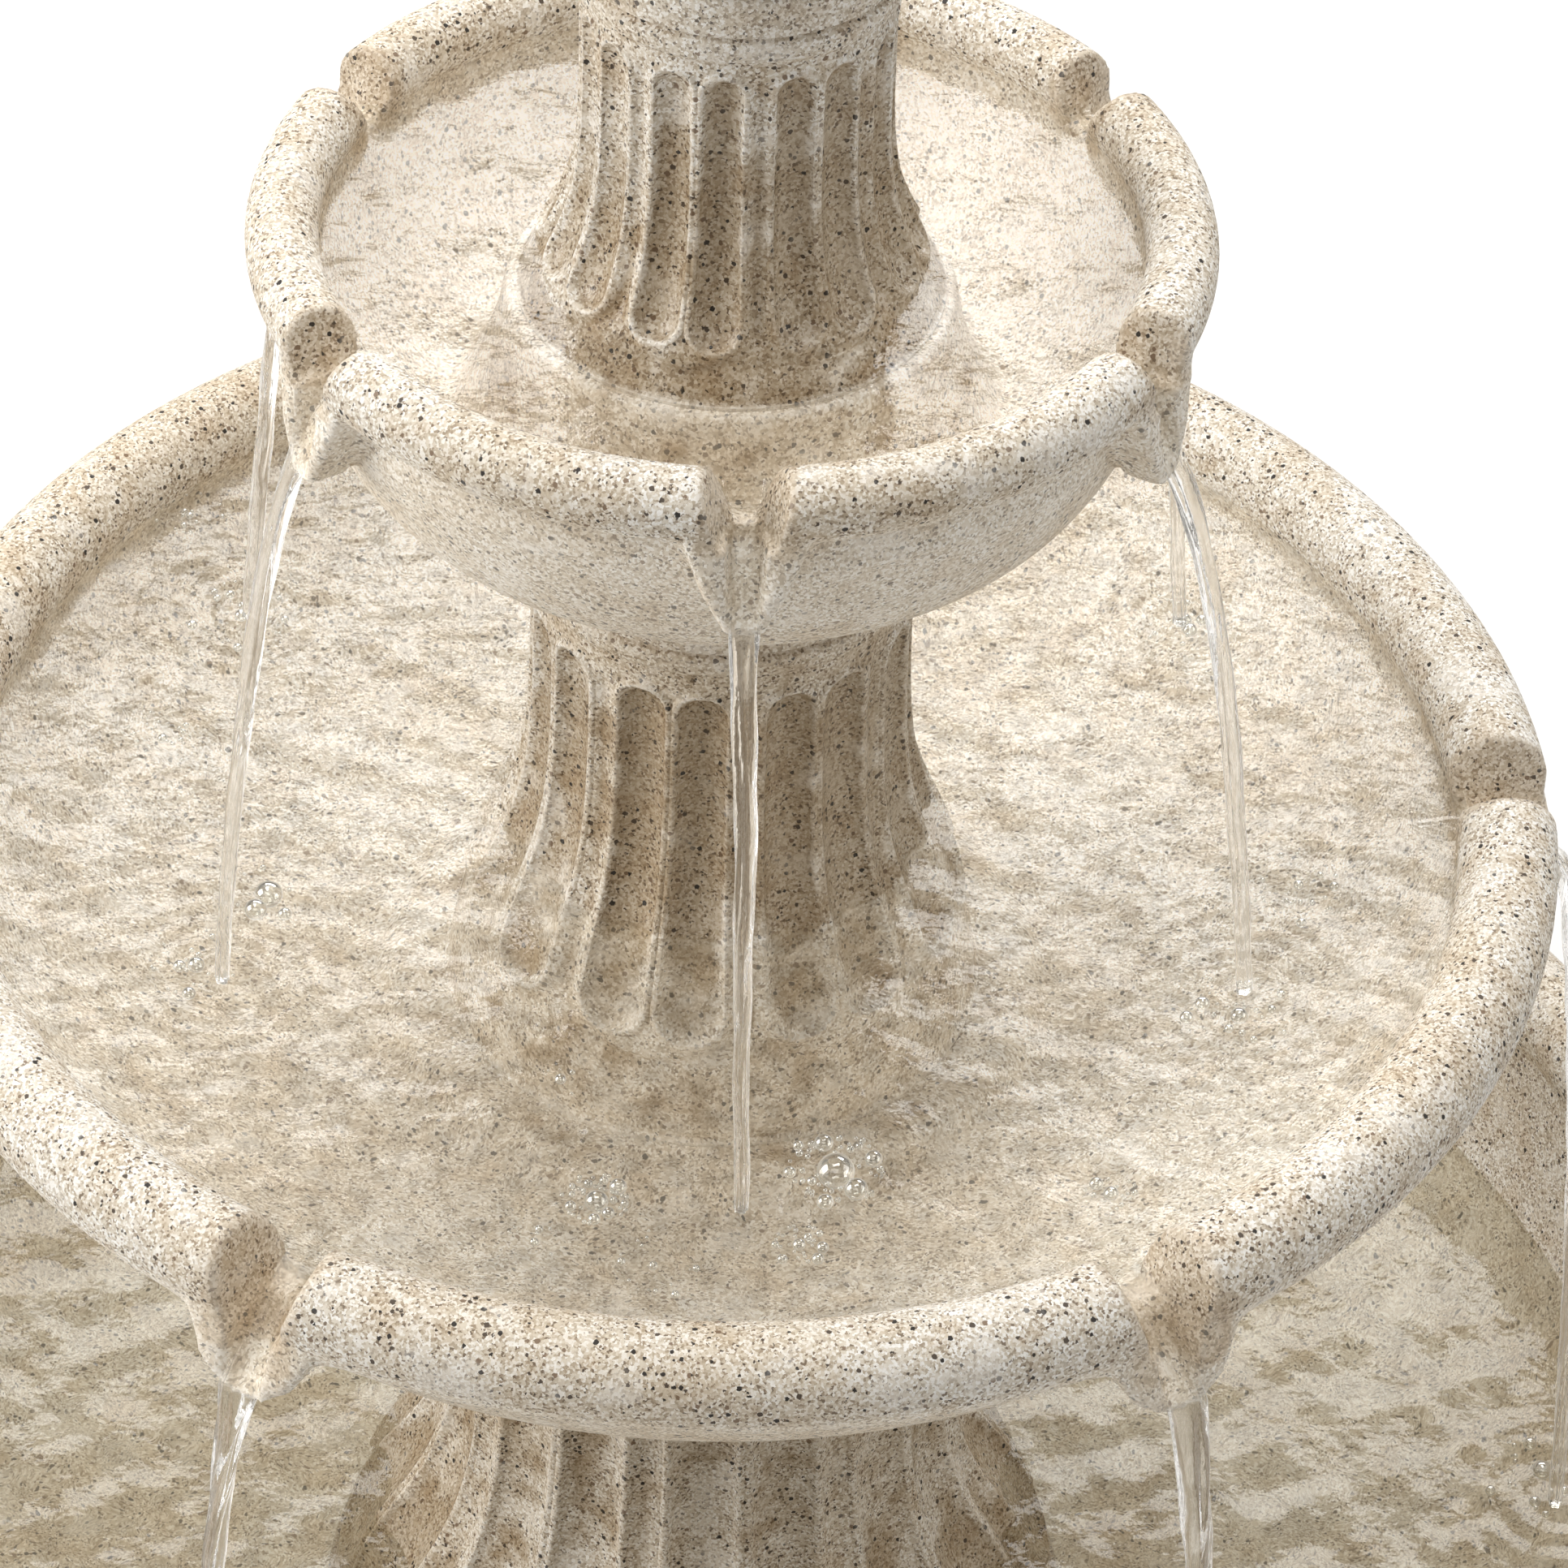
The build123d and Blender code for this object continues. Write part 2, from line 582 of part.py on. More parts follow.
def make_volute():
    """Pump casing: round chamber, spider for the front bush and the upright outlet."""
    with BuildPart() as casing:
        with BuildSketch(across(COVER_Y[0])):
            RectangleRounded(66, 70, 8)
        extrude(amount=4)
        with BuildSketch(across(COVER_Y[0])):
            Circle(26)
        extrude(amount=COVER_Y[1] - COVER_Y[0])
        with BuildSketch(Plane.XY.offset(PUMP_Z)):
            Circle(10)
        extrude(amount=OUTLET_TOP_Z - PUMP_Z)
        with BuildSketch(across(COVER_Y[0])):
            Circle(21.5)
        extrude(amount=COVER_Y[1] - COVER_Y[0] - 4, mode=Mode.SUBTRACT)
        # water enters through the eye in the front wall, past the three-legged spider
        with BuildSketch(across(-2.5)):
            Circle(13)
            Circle(7.5, mode=Mode.SUBTRACT)
            with PolarLocations(10, 3, start_angle=90):
                Rectangle(8, 3.4, mode=Mode.SUBTRACT)
        extrude(amount=12, mode=Mode.SUBTRACT)
        with BuildSketch(across(-2.5)):
            Circle(7.5)
        extrude(amount=COVER_Y[1] + 2.5)
        with BuildSketch(across(-3)):
            Circle(5)
        extrude(amount=5, mode=Mode.SUBTRACT)
        with BuildSketch(Plane.XY.offset(PUMP_Z + 2)):
            Circle(HOSE_BORE_R)
        extrude(amount=OUTLET_TOP_Z - PUMP_Z, mode=Mode.SUBTRACT)
        # groove for the sealing ring
        with BuildSketch(across(COVER_Y[0])):
            Circle(25)
            Circle(22.4, mode=Mode.SUBTRACT)
        extrude(amount=2.6, mode=Mode.SUBTRACT)
        with Locations(across(COVER_Y[0])):
            with GridLocations(56, 60, 2, 2):
                Cylinder(1.8, 20, mode=Mode.SUBTRACT)
    save(casing.part, "volute_casing")
    with BuildPart() as seal:
        with Locations(across(COVER_Y[0] + 1.3)):
            Torus(23.7, 1.25)
    save(seal.part, "casing_seal")
    with BuildPart() as screws:
        with Locations(across(COVER_Y[0])):
            with GridLocations(56, 60, 2, 2):
                with Locations((0, 0, -3)):
                    Cylinder(1.55, 14)
                with Locations((0, 0, 5.2)):
                    Cylinder(3, 2.4)
                with Locations((0, 0, 6.2)):
                    Box(4, 0.8, 1, mode=Mode.SUBTRACT)
                    Box(0.8, 4, 1, mode=Mode.SUBTRACT)
    save(screws.part, "casing_screws")


DIAL_DX, DIAL_DZ = 24, -27  # the flow dial, from the impeller's axis
INTAKE_Y = (-12.5, 38)


def make_intake():
    """Snap-on intake cover with a slotted front, the foam filter in it and the flow dial."""
    with BuildPart() as cover:
        with BuildSketch(across(INTAKE_Y[0])):
            RectangleRounded(CASE_W, CASE_H, 9)
        extrude(amount=INTAKE_Y[1] - INTAKE_Y[0])
        fillet(cover.faces().sort_by(Axis.Y)[-1].edges(), 4)
        with BuildSketch(across(INTAKE_Y[0])):
            RectangleRounded(CASE_W - 5, CASE_H - 5, 7)
        extrude(amount=INTAKE_Y[1] - INTAKE_Y[0] - 3, mode=Mode.SUBTRACT)
        # slots in the front wall
        with BuildSketch(across(INTAKE_Y[1] - 5)):
            with Locations((0, 8)):
                with GridLocations(0, 7, 1, 7):
                    SlotOverall(52, 3.4)
        extrude(amount=10, mode=Mode.SUBTRACT)
        # room for the outlet collar to pass when the cover comes off
        with Locations((0, (PUMP_Y + INTAKE_Y[0]) + 12, PUMP_Z + CASE_H / 2)):
            Box(32, 60, 12, mode=Mode.SUBTRACT)
        with BuildSketch(across(INTAKE_Y[1] - 5, dx=DIAL_DX, dz=DIAL_DZ)):
            Circle(3)
        extrude(amount=10, mode=Mode.SUBTRACT)
    save(cover.part, "intake_cover")
    with BuildPart() as foam:
        with BuildSketch(across(INTAKE_Y[1] - 19, dz=9)):
            RectangleRounded(62, 46, 5)
        extrude(amount=15)
    save(foam.part, "filter_foam")
    with BuildPart() as dial:
        with BuildSketch(across(INTAKE_Y[1] + 0.3, dx=DIAL_DX, dz=DIAL_DZ)):
            Circle(7.5)
        extrude(amount=4)
        fillet(dial.edges().group_by(Axis.Y)[-1], 1)
        with BuildSketch(across(INTAKE_Y[1] + 4, dx=DIAL_DX, dz=DIAL_DZ)):
            SlotOverall(12, 2.4)
        extrude(amount=2)
        with BuildSketch(across(INTAKE_Y[1] - 5, dx=DIAL_DX, dz=DIAL_DZ)):
            Circle(3 - FIT)
        extrude(amount=6)
        # the shutter behind the wall covers part of the intake as the dial turns
        with BuildSketch(across(INTAKE_Y[1] - 5, dx=DIAL_DX, dz=DIAL_DZ)):
            Circle(8)
        extrude(amount=1.7)
    save(dial.part, "flow_dial")


def make_pump_feet():
    """Rubber suction cups under the housing, each with a snap stud."""
    low = POOL_FLOOR_Z
    high = PUMP_Z - CASE_H / 2
    with BuildPart() as cups:
        with Locations((PUMP_X, PUMP_Y - 51, 0)):
            with GridLocations(44, 44, 2, 2):
                with Locations((0, 0, low + 2)):
                    Cone(12, 9, 4)
                with Locations((0, 0, (low + 4 + high) / 2)):
                    Cylinder(4.5, high - low - 4)
                with Locations((0, 0, low)):
                    Cone(9, 4, 3, mode=Mode.SUBTRACT)
    save(cups.part, "suction_cups")


def make_cord_gland():
    """Ribbed rubber sleeve in the back of the housing, where the cord enters."""
    back = BODY_Y[0]
    with BuildPart() as gland:
        with BuildSketch(across(back, dz=24)):
            Circle(6 - FIT)
        extrude(amount=5)
        with BuildSketch(across(back, dz=24)):
            Circle(8)
        extrude(amount=-3)
        with BuildSketch(across(back - 3, dz=24)):
            Circle(6.5)
        extrude(amount=-16, taper=5)
        for i in range(4):
            with BuildSketch(across(back - 5.5 - 3.5 * i, dz=24)):
                Circle(7.2 - 0.3 * i)
            extrude(amount=-1.4)
        with BuildSketch(across(back - 30, dz=24)):
            Circle(3.5)
        extrude(amount=40, mode=Mode.SUBTRACT)
    save(gland.part, "cord_gland")


# ---------------------------------------------------------------- everything
make_pool()
make_drain()
make_cord_grommet()
make_pedestal_pads()
make_pedestal()
make_large_bowl()
make_middle_column()
make_small_bowl()
make_top_column()
make_finial()
make_outlet_tube()
make_seals()
make_hub_grommet("large_bowl_grommet", 396, LARGE_PLINTH_Z)
make_hub_grommet("small_bowl_grommet", 706, SMALL_PLINTH_Z)
make_hose()
make_outlet_adapter()
make_hose_clamp()
make_pump_body()
make_motor()
make_rotor()
make_shaft()
make_volute()
make_intake()
make_pump_feet()
make_cord_gland()
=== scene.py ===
import json
import math
import random

import bpy
import numpy as np
from mathutils import Matrix, Vector


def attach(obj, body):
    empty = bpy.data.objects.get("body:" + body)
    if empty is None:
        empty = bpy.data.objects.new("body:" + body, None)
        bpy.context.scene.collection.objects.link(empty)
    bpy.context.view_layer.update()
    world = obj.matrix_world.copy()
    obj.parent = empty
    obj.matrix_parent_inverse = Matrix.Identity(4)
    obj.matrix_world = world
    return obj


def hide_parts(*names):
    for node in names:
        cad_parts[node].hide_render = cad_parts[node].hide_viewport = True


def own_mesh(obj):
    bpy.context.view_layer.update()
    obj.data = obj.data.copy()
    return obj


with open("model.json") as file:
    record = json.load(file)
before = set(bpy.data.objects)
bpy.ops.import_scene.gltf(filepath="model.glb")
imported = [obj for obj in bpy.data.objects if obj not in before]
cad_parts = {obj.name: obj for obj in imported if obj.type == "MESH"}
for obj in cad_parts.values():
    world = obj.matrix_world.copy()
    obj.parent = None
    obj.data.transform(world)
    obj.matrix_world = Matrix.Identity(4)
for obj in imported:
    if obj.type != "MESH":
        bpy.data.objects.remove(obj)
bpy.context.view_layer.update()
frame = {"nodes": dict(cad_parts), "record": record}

MM = 0.001

# Heights and radii in millimetres; angles in degrees from the front (-Y) towards +X.
FLUTE_PAIRS = 8
PAIR_HALF = 180 / FLUTE_PAIRS
FLUTE_SPREAD = 9.3
FLUTE_HALF = 8.4
GROOVE_HALF = 2.9
TONGUE_HALF = 20.5
PAIR_ANGLE = 31.0
PEDESTAL_PAIR_ANGLE = 11.0
SPOUTS = 6
SMALL_SPOUT_ANGLE = 2.5
LARGE_SPOUT_ANGLE = 31.0
SMALL_WATER_Z = 734.2
LARGE_WATER_Z = 486.5
POOL_WATER_Z = 110.0
# A rolled rim's radius, height and roundness; a beak's tip radius and height, and its crest height.
SMALL_RIM = (150, 740, 12.3)
LARGE_RIM = (288, 490, 18.2)
SMALL_TIP = (164, 702, 732.5)
LARGE_TIP = (311, 461, 482.5)
# The falling water, in millimetres and seconds.
GRAVITY = 9810.0
LEAVING_SPEED = 360.0
IMAGE_SIDE = 1932


# ---------------------------------------------------------------- mesh helpers
def smooth_curve(points, count):
    """Points evenly spread along a natural cubic spline through the given ones."""
    p = np.array(points, float)
    t = np.r_[0, np.cumsum(np.hypot(*np.diff(p, axis=0).T))]
    h = np.diff(t)
    n = len(p)
    a = np.eye(n)
    b = np.zeros((n, 2))
    for i in range(1, n - 1):
        a[i, i - 1], a[i, i], a[i, i + 1] = h[i - 1], 2 * (h[i - 1] + h[i]), h[i]
        b[i] = 6 * ((p[i + 1] - p[i]) / h[i] - (p[i] - p[i - 1]) / h[i - 1])
    m = np.linalg.solve(a, b)
    s = np.linspace(0, t[-1], count)
    i = np.clip(np.searchsorted(t, s, side="right") - 1, 0, n - 2)
    u, v, w = (s - t[i])[:, None], (t[i + 1] - s)[:, None], h[i][:, None]
    return (
        (m[i] * v**3 + m[i + 1] * u**3) / (6 * w)
        + (p[i] / w - m[i] * w / 6) * v
        + (p[i + 1] / w - m[i + 1] * w / 6) * u
    )


def run_length(curve):
    """How far along the curve each of its points is."""
    return np.r_[0, np.cumsum(np.hypot(*np.diff(curve, axis=0).T))]


def outward(curve):
    """Unit normals of a profile that runs upwards, pointing away from the axis."""
    d = np.gradient(curve, axis=0)
    d /= np.hypot(*d.T)[:, None]
    return np.stack([d[:, 1], -d[:, 0]], -1)


def grid_faces(rows, cols, wrap_rows=False):
    """Quads of a grid that closes round its columns, and round its rows if asked."""
    r = np.arange(rows if wrap_rows else rows - 1)[:, None]
    c = np.arange(cols)[None, :]
    r2, c2 = (r + 1) % rows, (c + 1) % cols
    quads = [r * cols + c, r * cols + c2, r2 * cols + c2, r2 * cols + c]
    return np.stack(quads, -1).reshape(-1, 4)


def turned(radii, heights, angles):
    """Points in metres on circles round the axis: radii and heights are rows by columns."""
    a = np.radians(angles)[None, :]
    return np.stack([radii * np.sin(a), -radii * np.cos(a), heights + 0 * a], -1).reshape(-1, 3) * MM


def add_piece(name, mesh, material, body, node=None, sharp=42):
    """Puts a mesh into the scene as a piece that rides on a body."""
    mesh.shade_smooth()
    mesh.set_sharp_from_angle(angle=math.radians(sharp))
    obj = bpy.data.objects.new(name, mesh)
    bpy.context.scene.collection.objects.link(obj)
    mesh.materials.clear()
    mesh.materials.append(material)
    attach(obj, body)
    if node:
        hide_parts(node)
    return obj


def mesh_from(name, verts, faces):
    """A mesh from points in metres."""
    mesh = bpy.data.meshes.new(name)
    mesh.from_pydata(verts.tolist(), [], faces if isinstance(faces, list) else faces.tolist())
    mesh.validate()
    mesh.update()
    return mesh


def store(mesh, name, values):
    """Keeps one number per vertex on the mesh, for its material to read."""
    layer = mesh.attributes.new(name, "FLOAT", "POINT")
    layer.data.foreach_set("value", np.asarray(values, np.float32).ravel())


def points_of(mesh):
    """A mesh's vertices in millimetres."""
    flat = np.empty(len(mesh.vertices) * 3, np.float32)
    mesh.vertices.foreach_get("co", flat)
    return flat.reshape(-1, 3).astype(float) / MM


def move_points(mesh, points):
    """Moves a mesh's vertices to points in millimetres."""
    mesh.vertices.foreach_set("co", (points * MM).astype(np.float32).ravel())
    mesh.update()


def baked(obj):
    """The object's mesh with its modifiers applied."""
    graph = bpy.context.evaluated_depsgraph_get()
    mesh = bpy.data.meshes.new_from_object(obj.evaluated_get(graph))
    bpy.data.objects.remove(obj)
    return mesh


def ease(x, low, high):
    """0 below low, 1 above high and smooth in between."""
    t = np.clip((x - low) / (high - low), 0, 1)
    return t * t * (3 - 2 * t)


# ---------------------------------------------------------------- materials
class Look:
    """A material's node tree, built up one node at a time."""

    def __init__(self, name):
        self.material = bpy.data.materials.new(name)
        self.material.use_nodes = True
        self.tree = self.material.node_tree
        self.shader = self.tree.nodes["Principled BSDF"]
        self.place = self.node("ShaderNodeTexCoord").outputs["Object"]

    def put(self, socket, value):
        """Links a socket to another, or sets its value."""
        if isinstance(value, bpy.types.NodeSocket):
            self.tree.links.new(value, socket)
        else:
            socket.default_value = value

    def node(self, kind, inputs=None, **settings):
        made = self.tree.nodes.new(kind)
        for key, value in settings.items():
            setattr(made, key, value)
        for key, value in (inputs or {}).items():
            self.put(made.inputs[key], value)
        return made

    def set(self, **values):
        for key, value in values.items():
            self.put(self.shader.inputs[key.replace("_", " ")], value)

    def stretched(self, scale):
        return self.node("ShaderNodeMapping", {"Vector": self.place, "Scale": scale}).outputs[0]

    def noise(self, scale, detail=4.0, at=None, color=False, rough=0.55):
        inputs = {"Scale": scale, "Detail": detail, "Roughness": rough, "Vector": at or self.place}
        return self.node("ShaderNodeTexNoise", inputs).outputs[1 if color else 0]

    def cells(self, scale, at=None):
        return self.node("ShaderNodeTexVoronoi", {"Scale": scale, "Vector": at or self.place})

    def height(self):
        return self.node("ShaderNodeSeparateXYZ", {0: self.place}).outputs[2]

    def vector(self, operation, a, b):
        second = "Scale" if operation == "SCALE" else 1
        return self.node("ShaderNodeVectorMath", {0: a, second: b}, operation=operation).outputs[0]

    def part(self, color, channel=0):
        return self.node("ShaderNodeSeparateColor", {0: color}).outputs[channel]

    def math(self, operation, a, b=0.0, clamp=False):
        return self.node("ShaderNodeMath", {0: a, 1: b}, operation=operation, use_clamp=clamp).outputs[0]

    def fit(self, value, low, high, to_low=0.0, to_high=1.0):
        inputs = {"Value": value, "From Min": low, "From Max": high, "To Min": to_low, "To Max": to_high}
        return self.node("ShaderNodeMapRange", inputs, interpolation_type="SMOOTHSTEP").outputs[0]

    def mix(self, factor, a, b, blend="MIX"):
        made = self.node("ShaderNodeMix", data_type="RGBA", blend_type=blend)
        for index, value in ((0, factor), (6, a), (7, b)):
            ready = isinstance(value, (float, bpy.types.NodeSocket))
            self.put(made.inputs[index], value if ready else (*value, 1))
        return made.outputs[2]

    def grey(self, value):
        return self.node("ShaderNodeCombineColor", {0: value, 1: value, 2: value}).outputs[0]

    def ramp(self, factor, stops, mode="LINEAR"):
        made = self.node("ShaderNodeValToRGB", {0: factor})
        made.color_ramp.interpolation = mode
        marks = made.color_ramp.elements
        while len(marks) < len(stops):
            marks.new(1.0)
        for mark, (at, color) in zip(marks, stops):
            mark.position = at
            mark.color = (*color, 1)
        return made.outputs[0]

    def kept(self, name):
        return self.node("ShaderNodeAttribute", attribute_name=name, attribute_type="GEOMETRY").outputs["Fac"]

    def bump(self, height, distance, strength=1.0):
        inputs = {"Height": height, "Distance": distance, "Strength": strength}
        return self.node("ShaderNodeBump", inputs).outputs[0]

    def bsdf(self, kind, color, **inputs):
        """A one-purpose shader: Transparent, Translucent or Glossy."""
        return self.node("ShaderNodeBsdf" + kind, {0: color, **inputs}).outputs[0]

    def both(self, share, a, b):
        """Shader a, with b taking the given share."""
        return self.node("ShaderNodeMixShader", {0: share, 1: a, 2: b}).outputs[0]

    def finished(self, shader):
        """The material, with this shader as its surface."""
        self.put(self.tree.nodes["Material Output"].inputs[0], shader)
        return self.material


def wavering(k, at, level, strength):
    """Below the water line the chips look shifted and stretched, as seen through moving water."""
    share = k.fit(k.height(), level, level - 0.02, 0.0, strength)
    drift = k.vector("SUBTRACT", k.noise(52.0, 2.0, color=True), (0.5, 0.5, 0.5))
    return k.vector("ADD", at, k.vector("SCALE", drift, share))


def stone(name, wet_from=None, stains=False, wet_kept=False, under_water=None):
    """Cast stone: cream binder with tan, white, brown and black chips; darker and glossy where wet.

    wet_from gives the heights in metres where it is wet and dry. wet_kept and stains read what the
    mesh keeps; on the columns the kept wet value also carries painted light and shade. under_water
    gives the water's height and how far its waves shift the chips; below that height the stone is
    also drawn lighter, painted light standing in for the light the water lets down onto it.
    """
    k = Look(name)
    wander = k.vector("SUBTRACT", k.noise(1100.0, 2.0, color=True), (0.5, 0.5, 0.5))
    at = k.vector("ADD", k.place, k.vector("SCALE", wander, 0.0012))
    if under_water:
        at = wavering(k, at, *under_water)
    grain = k.cells(1150.0, at)
    pick = k.part(grain.outputs["Color"])
    color = k.ramp(
        pick,
        [
            (0.0, (0.74, 0.69, 0.60)),
            (0.22, (0.88, 0.86, 0.82)),
            (0.42, (0.62, 0.555, 0.46)),
            (0.56, (0.95, 0.94, 0.91)),
            (0.66, (0.50, 0.43, 0.335)),
            (0.77, (0.72, 0.66, 0.57)),
            (0.87, (0.40, 0.33, 0.25)),
            (0.94, (0.23, 0.18, 0.13)),
            (0.985, (0.09, 0.07, 0.055)),
        ],
        "CONSTANT",
    )
    chips = k.cells(325.0, at)
    kind = k.part(chips.outputs["Color"], 1)
    size = k.fit(k.part(chips.outputs["Color"], 2), 0.0, 1.0, 0.08, 0.33)
    spot = k.math("LESS_THAN", chips.outputs["Distance"], size)
    dark = k.math("MULTIPLY", spot, k.math("GREATER_THAN", kind, 0.52))
    chip_color = k.ramp(
        k.part(chips.outputs["Color"], 0),
        [(0.0, (0.035, 0.03, 0.027)), (0.38, (0.10, 0.078, 0.06)), (0.70, (0.26, 0.19, 0.135))],
        "CONSTANT",
    )
    color = k.mix(dark, color, chip_color)
    pale = k.math("MULTIPLY", spot, k.math("LESS_THAN", kind, 0.12))
    color = k.mix(pale, color, (0.96, 0.95, 0.92))
    broad = k.noise(9.0, 5.0)
    color = k.mix(k.fit(broad, 0.40, 0.66, 0.0, 0.6), color, (0.84, 0.75, 0.62), "MULTIPLY")
    patch = k.noise(60.0, 4.0)
    color = k.mix(k.fit(patch, 0.50, 0.66, 0.0, 0.5), color, (0.76, 0.66, 0.53), "MULTIPLY")
    color = k.mix(k.fit(patch, 0.46, 0.34, 0.0, 0.35), color, (0.93, 0.90, 0.85))
    # Below the water line the stone is drawn lighter: painted light standing in for the light the water lets
    # down onto it.
    if under_water:
        level = under_water[0]
        sunk = k.fit(k.height(), level + 0.001, level - 0.003, 0.0, 0.95)
        painted_underwater_light = k.mix(0.3, k.vector("SCALE", color, 1.16), (0.80, 0.745, 0.65))
        color = k.mix(sunk, color, painted_underwater_light)
    # Darker and browner in the hollows: partly grime held there, partly painted shade. Lighter on the ridges:
    # painted highlight.
    hollow = k.node("ShaderNodeNewGeometry").outputs["Pointiness"]
    color = k.mix(k.fit(hollow, 0.5, 0.43, 0.0, 0.6), color, (0.62, 0.52, 0.40), "MULTIPLY")
    color = k.mix(k.fit(hollow, 0.51, 0.58, 0.0, 0.45), color, (0.93, 0.91, 0.87))
    rough = k.fit(k.noise(420.0, 3.0), 0.3, 0.7, 0.62, 0.86)
    ragged = k.math("MULTIPLY", k.math("SUBTRACT", k.noise(60.0, 5.0), 0.5), 1.1)
    if stains:
        stain = k.fit(k.math("ADD", k.kept("stain"), ragged), 0.3, 0.8)
        color = k.mix(k.math("MULTIPLY", stain, 0.62), color, (0.74, 0.65, 0.53), "MULTIPLY")
        rough = k.math("SUBTRACT", rough, k.math("MULTIPLY", stain, 0.34))
    wet = None
    if wet_kept:
        wet = k.fit(k.math("ADD", k.kept("wet"), ragged), 0.35, 0.7)
    elif wet_from:
        height = k.math("ADD", k.height(), k.math("MULTIPLY", ragged, 0.01))
        wet = k.fit(height, wet_from[1], wet_from[0])
    relief = k.math("ADD", k.math("MULTIPLY", grain.outputs["Distance"], 0.35), k.noise(170.0, 5.0))
    if wet is not None:
        color = k.mix(wet, color, (0.66, 0.60, 0.515), "MULTIPLY")
        trickle = k.noise(75.0, 3.0, at=k.stretched((1.0, 1.0, 0.09)))
        film = k.fit(trickle, 0.35, 0.7, 0.34, 0.09)
        rough = k.part(k.mix(wet, k.grey(rough), k.grey(film)))
    k.set(Base_Color=color, Roughness=rough, Normal=k.bump(relief, 0.0005, 0.55))
    k.shader.inputs["IOR"].default_value = 1.5
    return k.material


def outer_share(k, normal=None):
    """How much the water's outer face mirrors; its inner faces never do."""
    inputs = {"IOR": 1.33}
    if normal:
        inputs["Normal"] = normal
    outside = k.math("SUBTRACT", 1.0, k.node("ShaderNodeNewGeometry").outputs["Backfacing"])
    return k.math("MULTIPLY", k.node("ShaderNodeFresnel", inputs).outputs[0], outside)


def water(name, tint, chop, chop_size, painted_caustics_strength):
    """Clear moving water: straight through it the stone shows, its crests mirror the studio. What shows
    through is brighter along the lines of a wobbling net of cells and dimmer inside them: painted caustics.
    """
    k = Look(name)
    k.tree.nodes.remove(k.shader)
    wave = k.noise(chop_size, 3.0, rough=0.5)
    fine = k.noise(chop_size * 2.7, 2.0)
    height = k.math("ADD", wave, k.math("MULTIPLY", fine, 0.3))
    normal = k.bump(height, chop, 1.0)
    # Painted caustics: the see-through colour is dimmed inside a wobbling net of cells and where the waves
    # are low, standing in for the light the waves throw on the stone.
    swirl = k.vector("SCALE", k.noise(chop_size * 0.8, 2.0, color=True), 0.012)
    painted_caustic_web = k.cells(chop_size * 1.1, k.vector("ADD", k.place, swirl))
    bright = k.fit(painted_caustic_web.outputs["Distance"], 0.1, 0.75, 1.0 - painted_caustics_strength, 1.0)
    bright = k.math("MULTIPLY", bright, k.fit(wave, 0.3, 0.7, 1.0 - 0.6 * painted_caustics_strength, 1.0))
    levels = {i: k.math("MULTIPLY", bright, tint[i]) for i in range(3)}
    through = k.bsdf("Transparent", k.node("ShaderNodeCombineColor", levels).outputs[0])
    mirror = k.bsdf("Glossy", (1, 1, 1, 1), Roughness=k.fit(fine, 0.3, 0.7, 0.02, 0.07), Normal=normal)
    return k.finished(k.both(outer_share(k, normal), through, mirror))


def falling_water(name, tint, chop, chop_size):
    """Water in the air, which bends what is behind it and is drawn white at its grazing edges, a painted
    highlight.

    Where it still slides over the stone it is a clear skin. Lamps shine through both.
    """
    k = Look(name)
    wave = k.noise(chop_size, 3.0, at=k.stretched((1.0, 1.0, 0.16)))
    fine = k.noise(chop_size * 3.2, 2.0, at=k.stretched((1.0, 1.0, 0.1)))
    height = k.math("ADD", wave, k.math("MULTIPLY", fine, 0.3))
    normal = k.bump(height, chop, 1.0)
    k.set(Roughness=k.fit(fine, 0.3, 0.8, 0.0, 0.03), Normal=normal)
    k.shader.inputs["Base Color"].default_value = (*tint, 1)
    k.shader.inputs["Transmission Weight"].default_value = 1.0
    k.shader.inputs["IOR"].default_value = 1.333
    to_lamp = k.node("ShaderNodeLightPath").outputs["Is Shadow Ray"]
    clear = k.bsdf("Transparent", (*tint, 1))
    skin = k.both(outer_share(k), clear, k.bsdf("Glossy", (1, 1, 1, 1), Roughness=0.05))
    # A white translucent share at the grazing edges: a painted highlight for the stream's bright edges.
    edge = k.node("ShaderNodeLayerWeight", {"Blend": 0.5, "Normal": normal}).outputs["Facing"]
    painted_edge_white = k.math("MULTIPLY", k.fit(edge, 0.35, 0.95, 0.04, 0.55), k.fit(fine, 0.35, 0.65, 0.35, 1.0))
    in_air = k.both(painted_edge_white, k.shader.outputs[0], k.bsdf("Translucent", (0.97, 0.97, 0.96, 1)))
    return k.finished(k.both(to_lamp, k.both(k.kept("falling"), skin, in_air), clear))


def film(name):
    """The thin skin of a bubble: see-through in the middle, bright round its edge, from its gloss and from a
    white translucent share that is a painted highlight.
    """
    k = Look(name)
    k.tree.nodes.remove(k.shader)
    edge = k.node("ShaderNodeLayerWeight", {"Blend": 0.42}).outputs["Facing"]
    swirl = k.math("MULTIPLY", k.noise(900.0, 2.0), 0.06)
    share = k.math("ADD", k.fit(edge, 0.0, 0.55, 0.14, 1.0), swirl, clamp=True)
    clear = k.bsdf("Transparent", (0.97, 0.98, 0.97, 1))
    gloss = k.bsdf("Glossy", (0.97, 0.97, 0.96, 1), Roughness=0.05)
    # A white translucent share round the edge: a painted highlight for the bubble's bright rim.
    painted_rim_white = k.bsdf("Translucent", (0.98, 0.98, 0.97, 1))
    return k.finished(k.both(share, clear, k.both(k.fit(edge, 0.3, 0.8, 0.12, 0.75), gloss, painted_rim_white)))


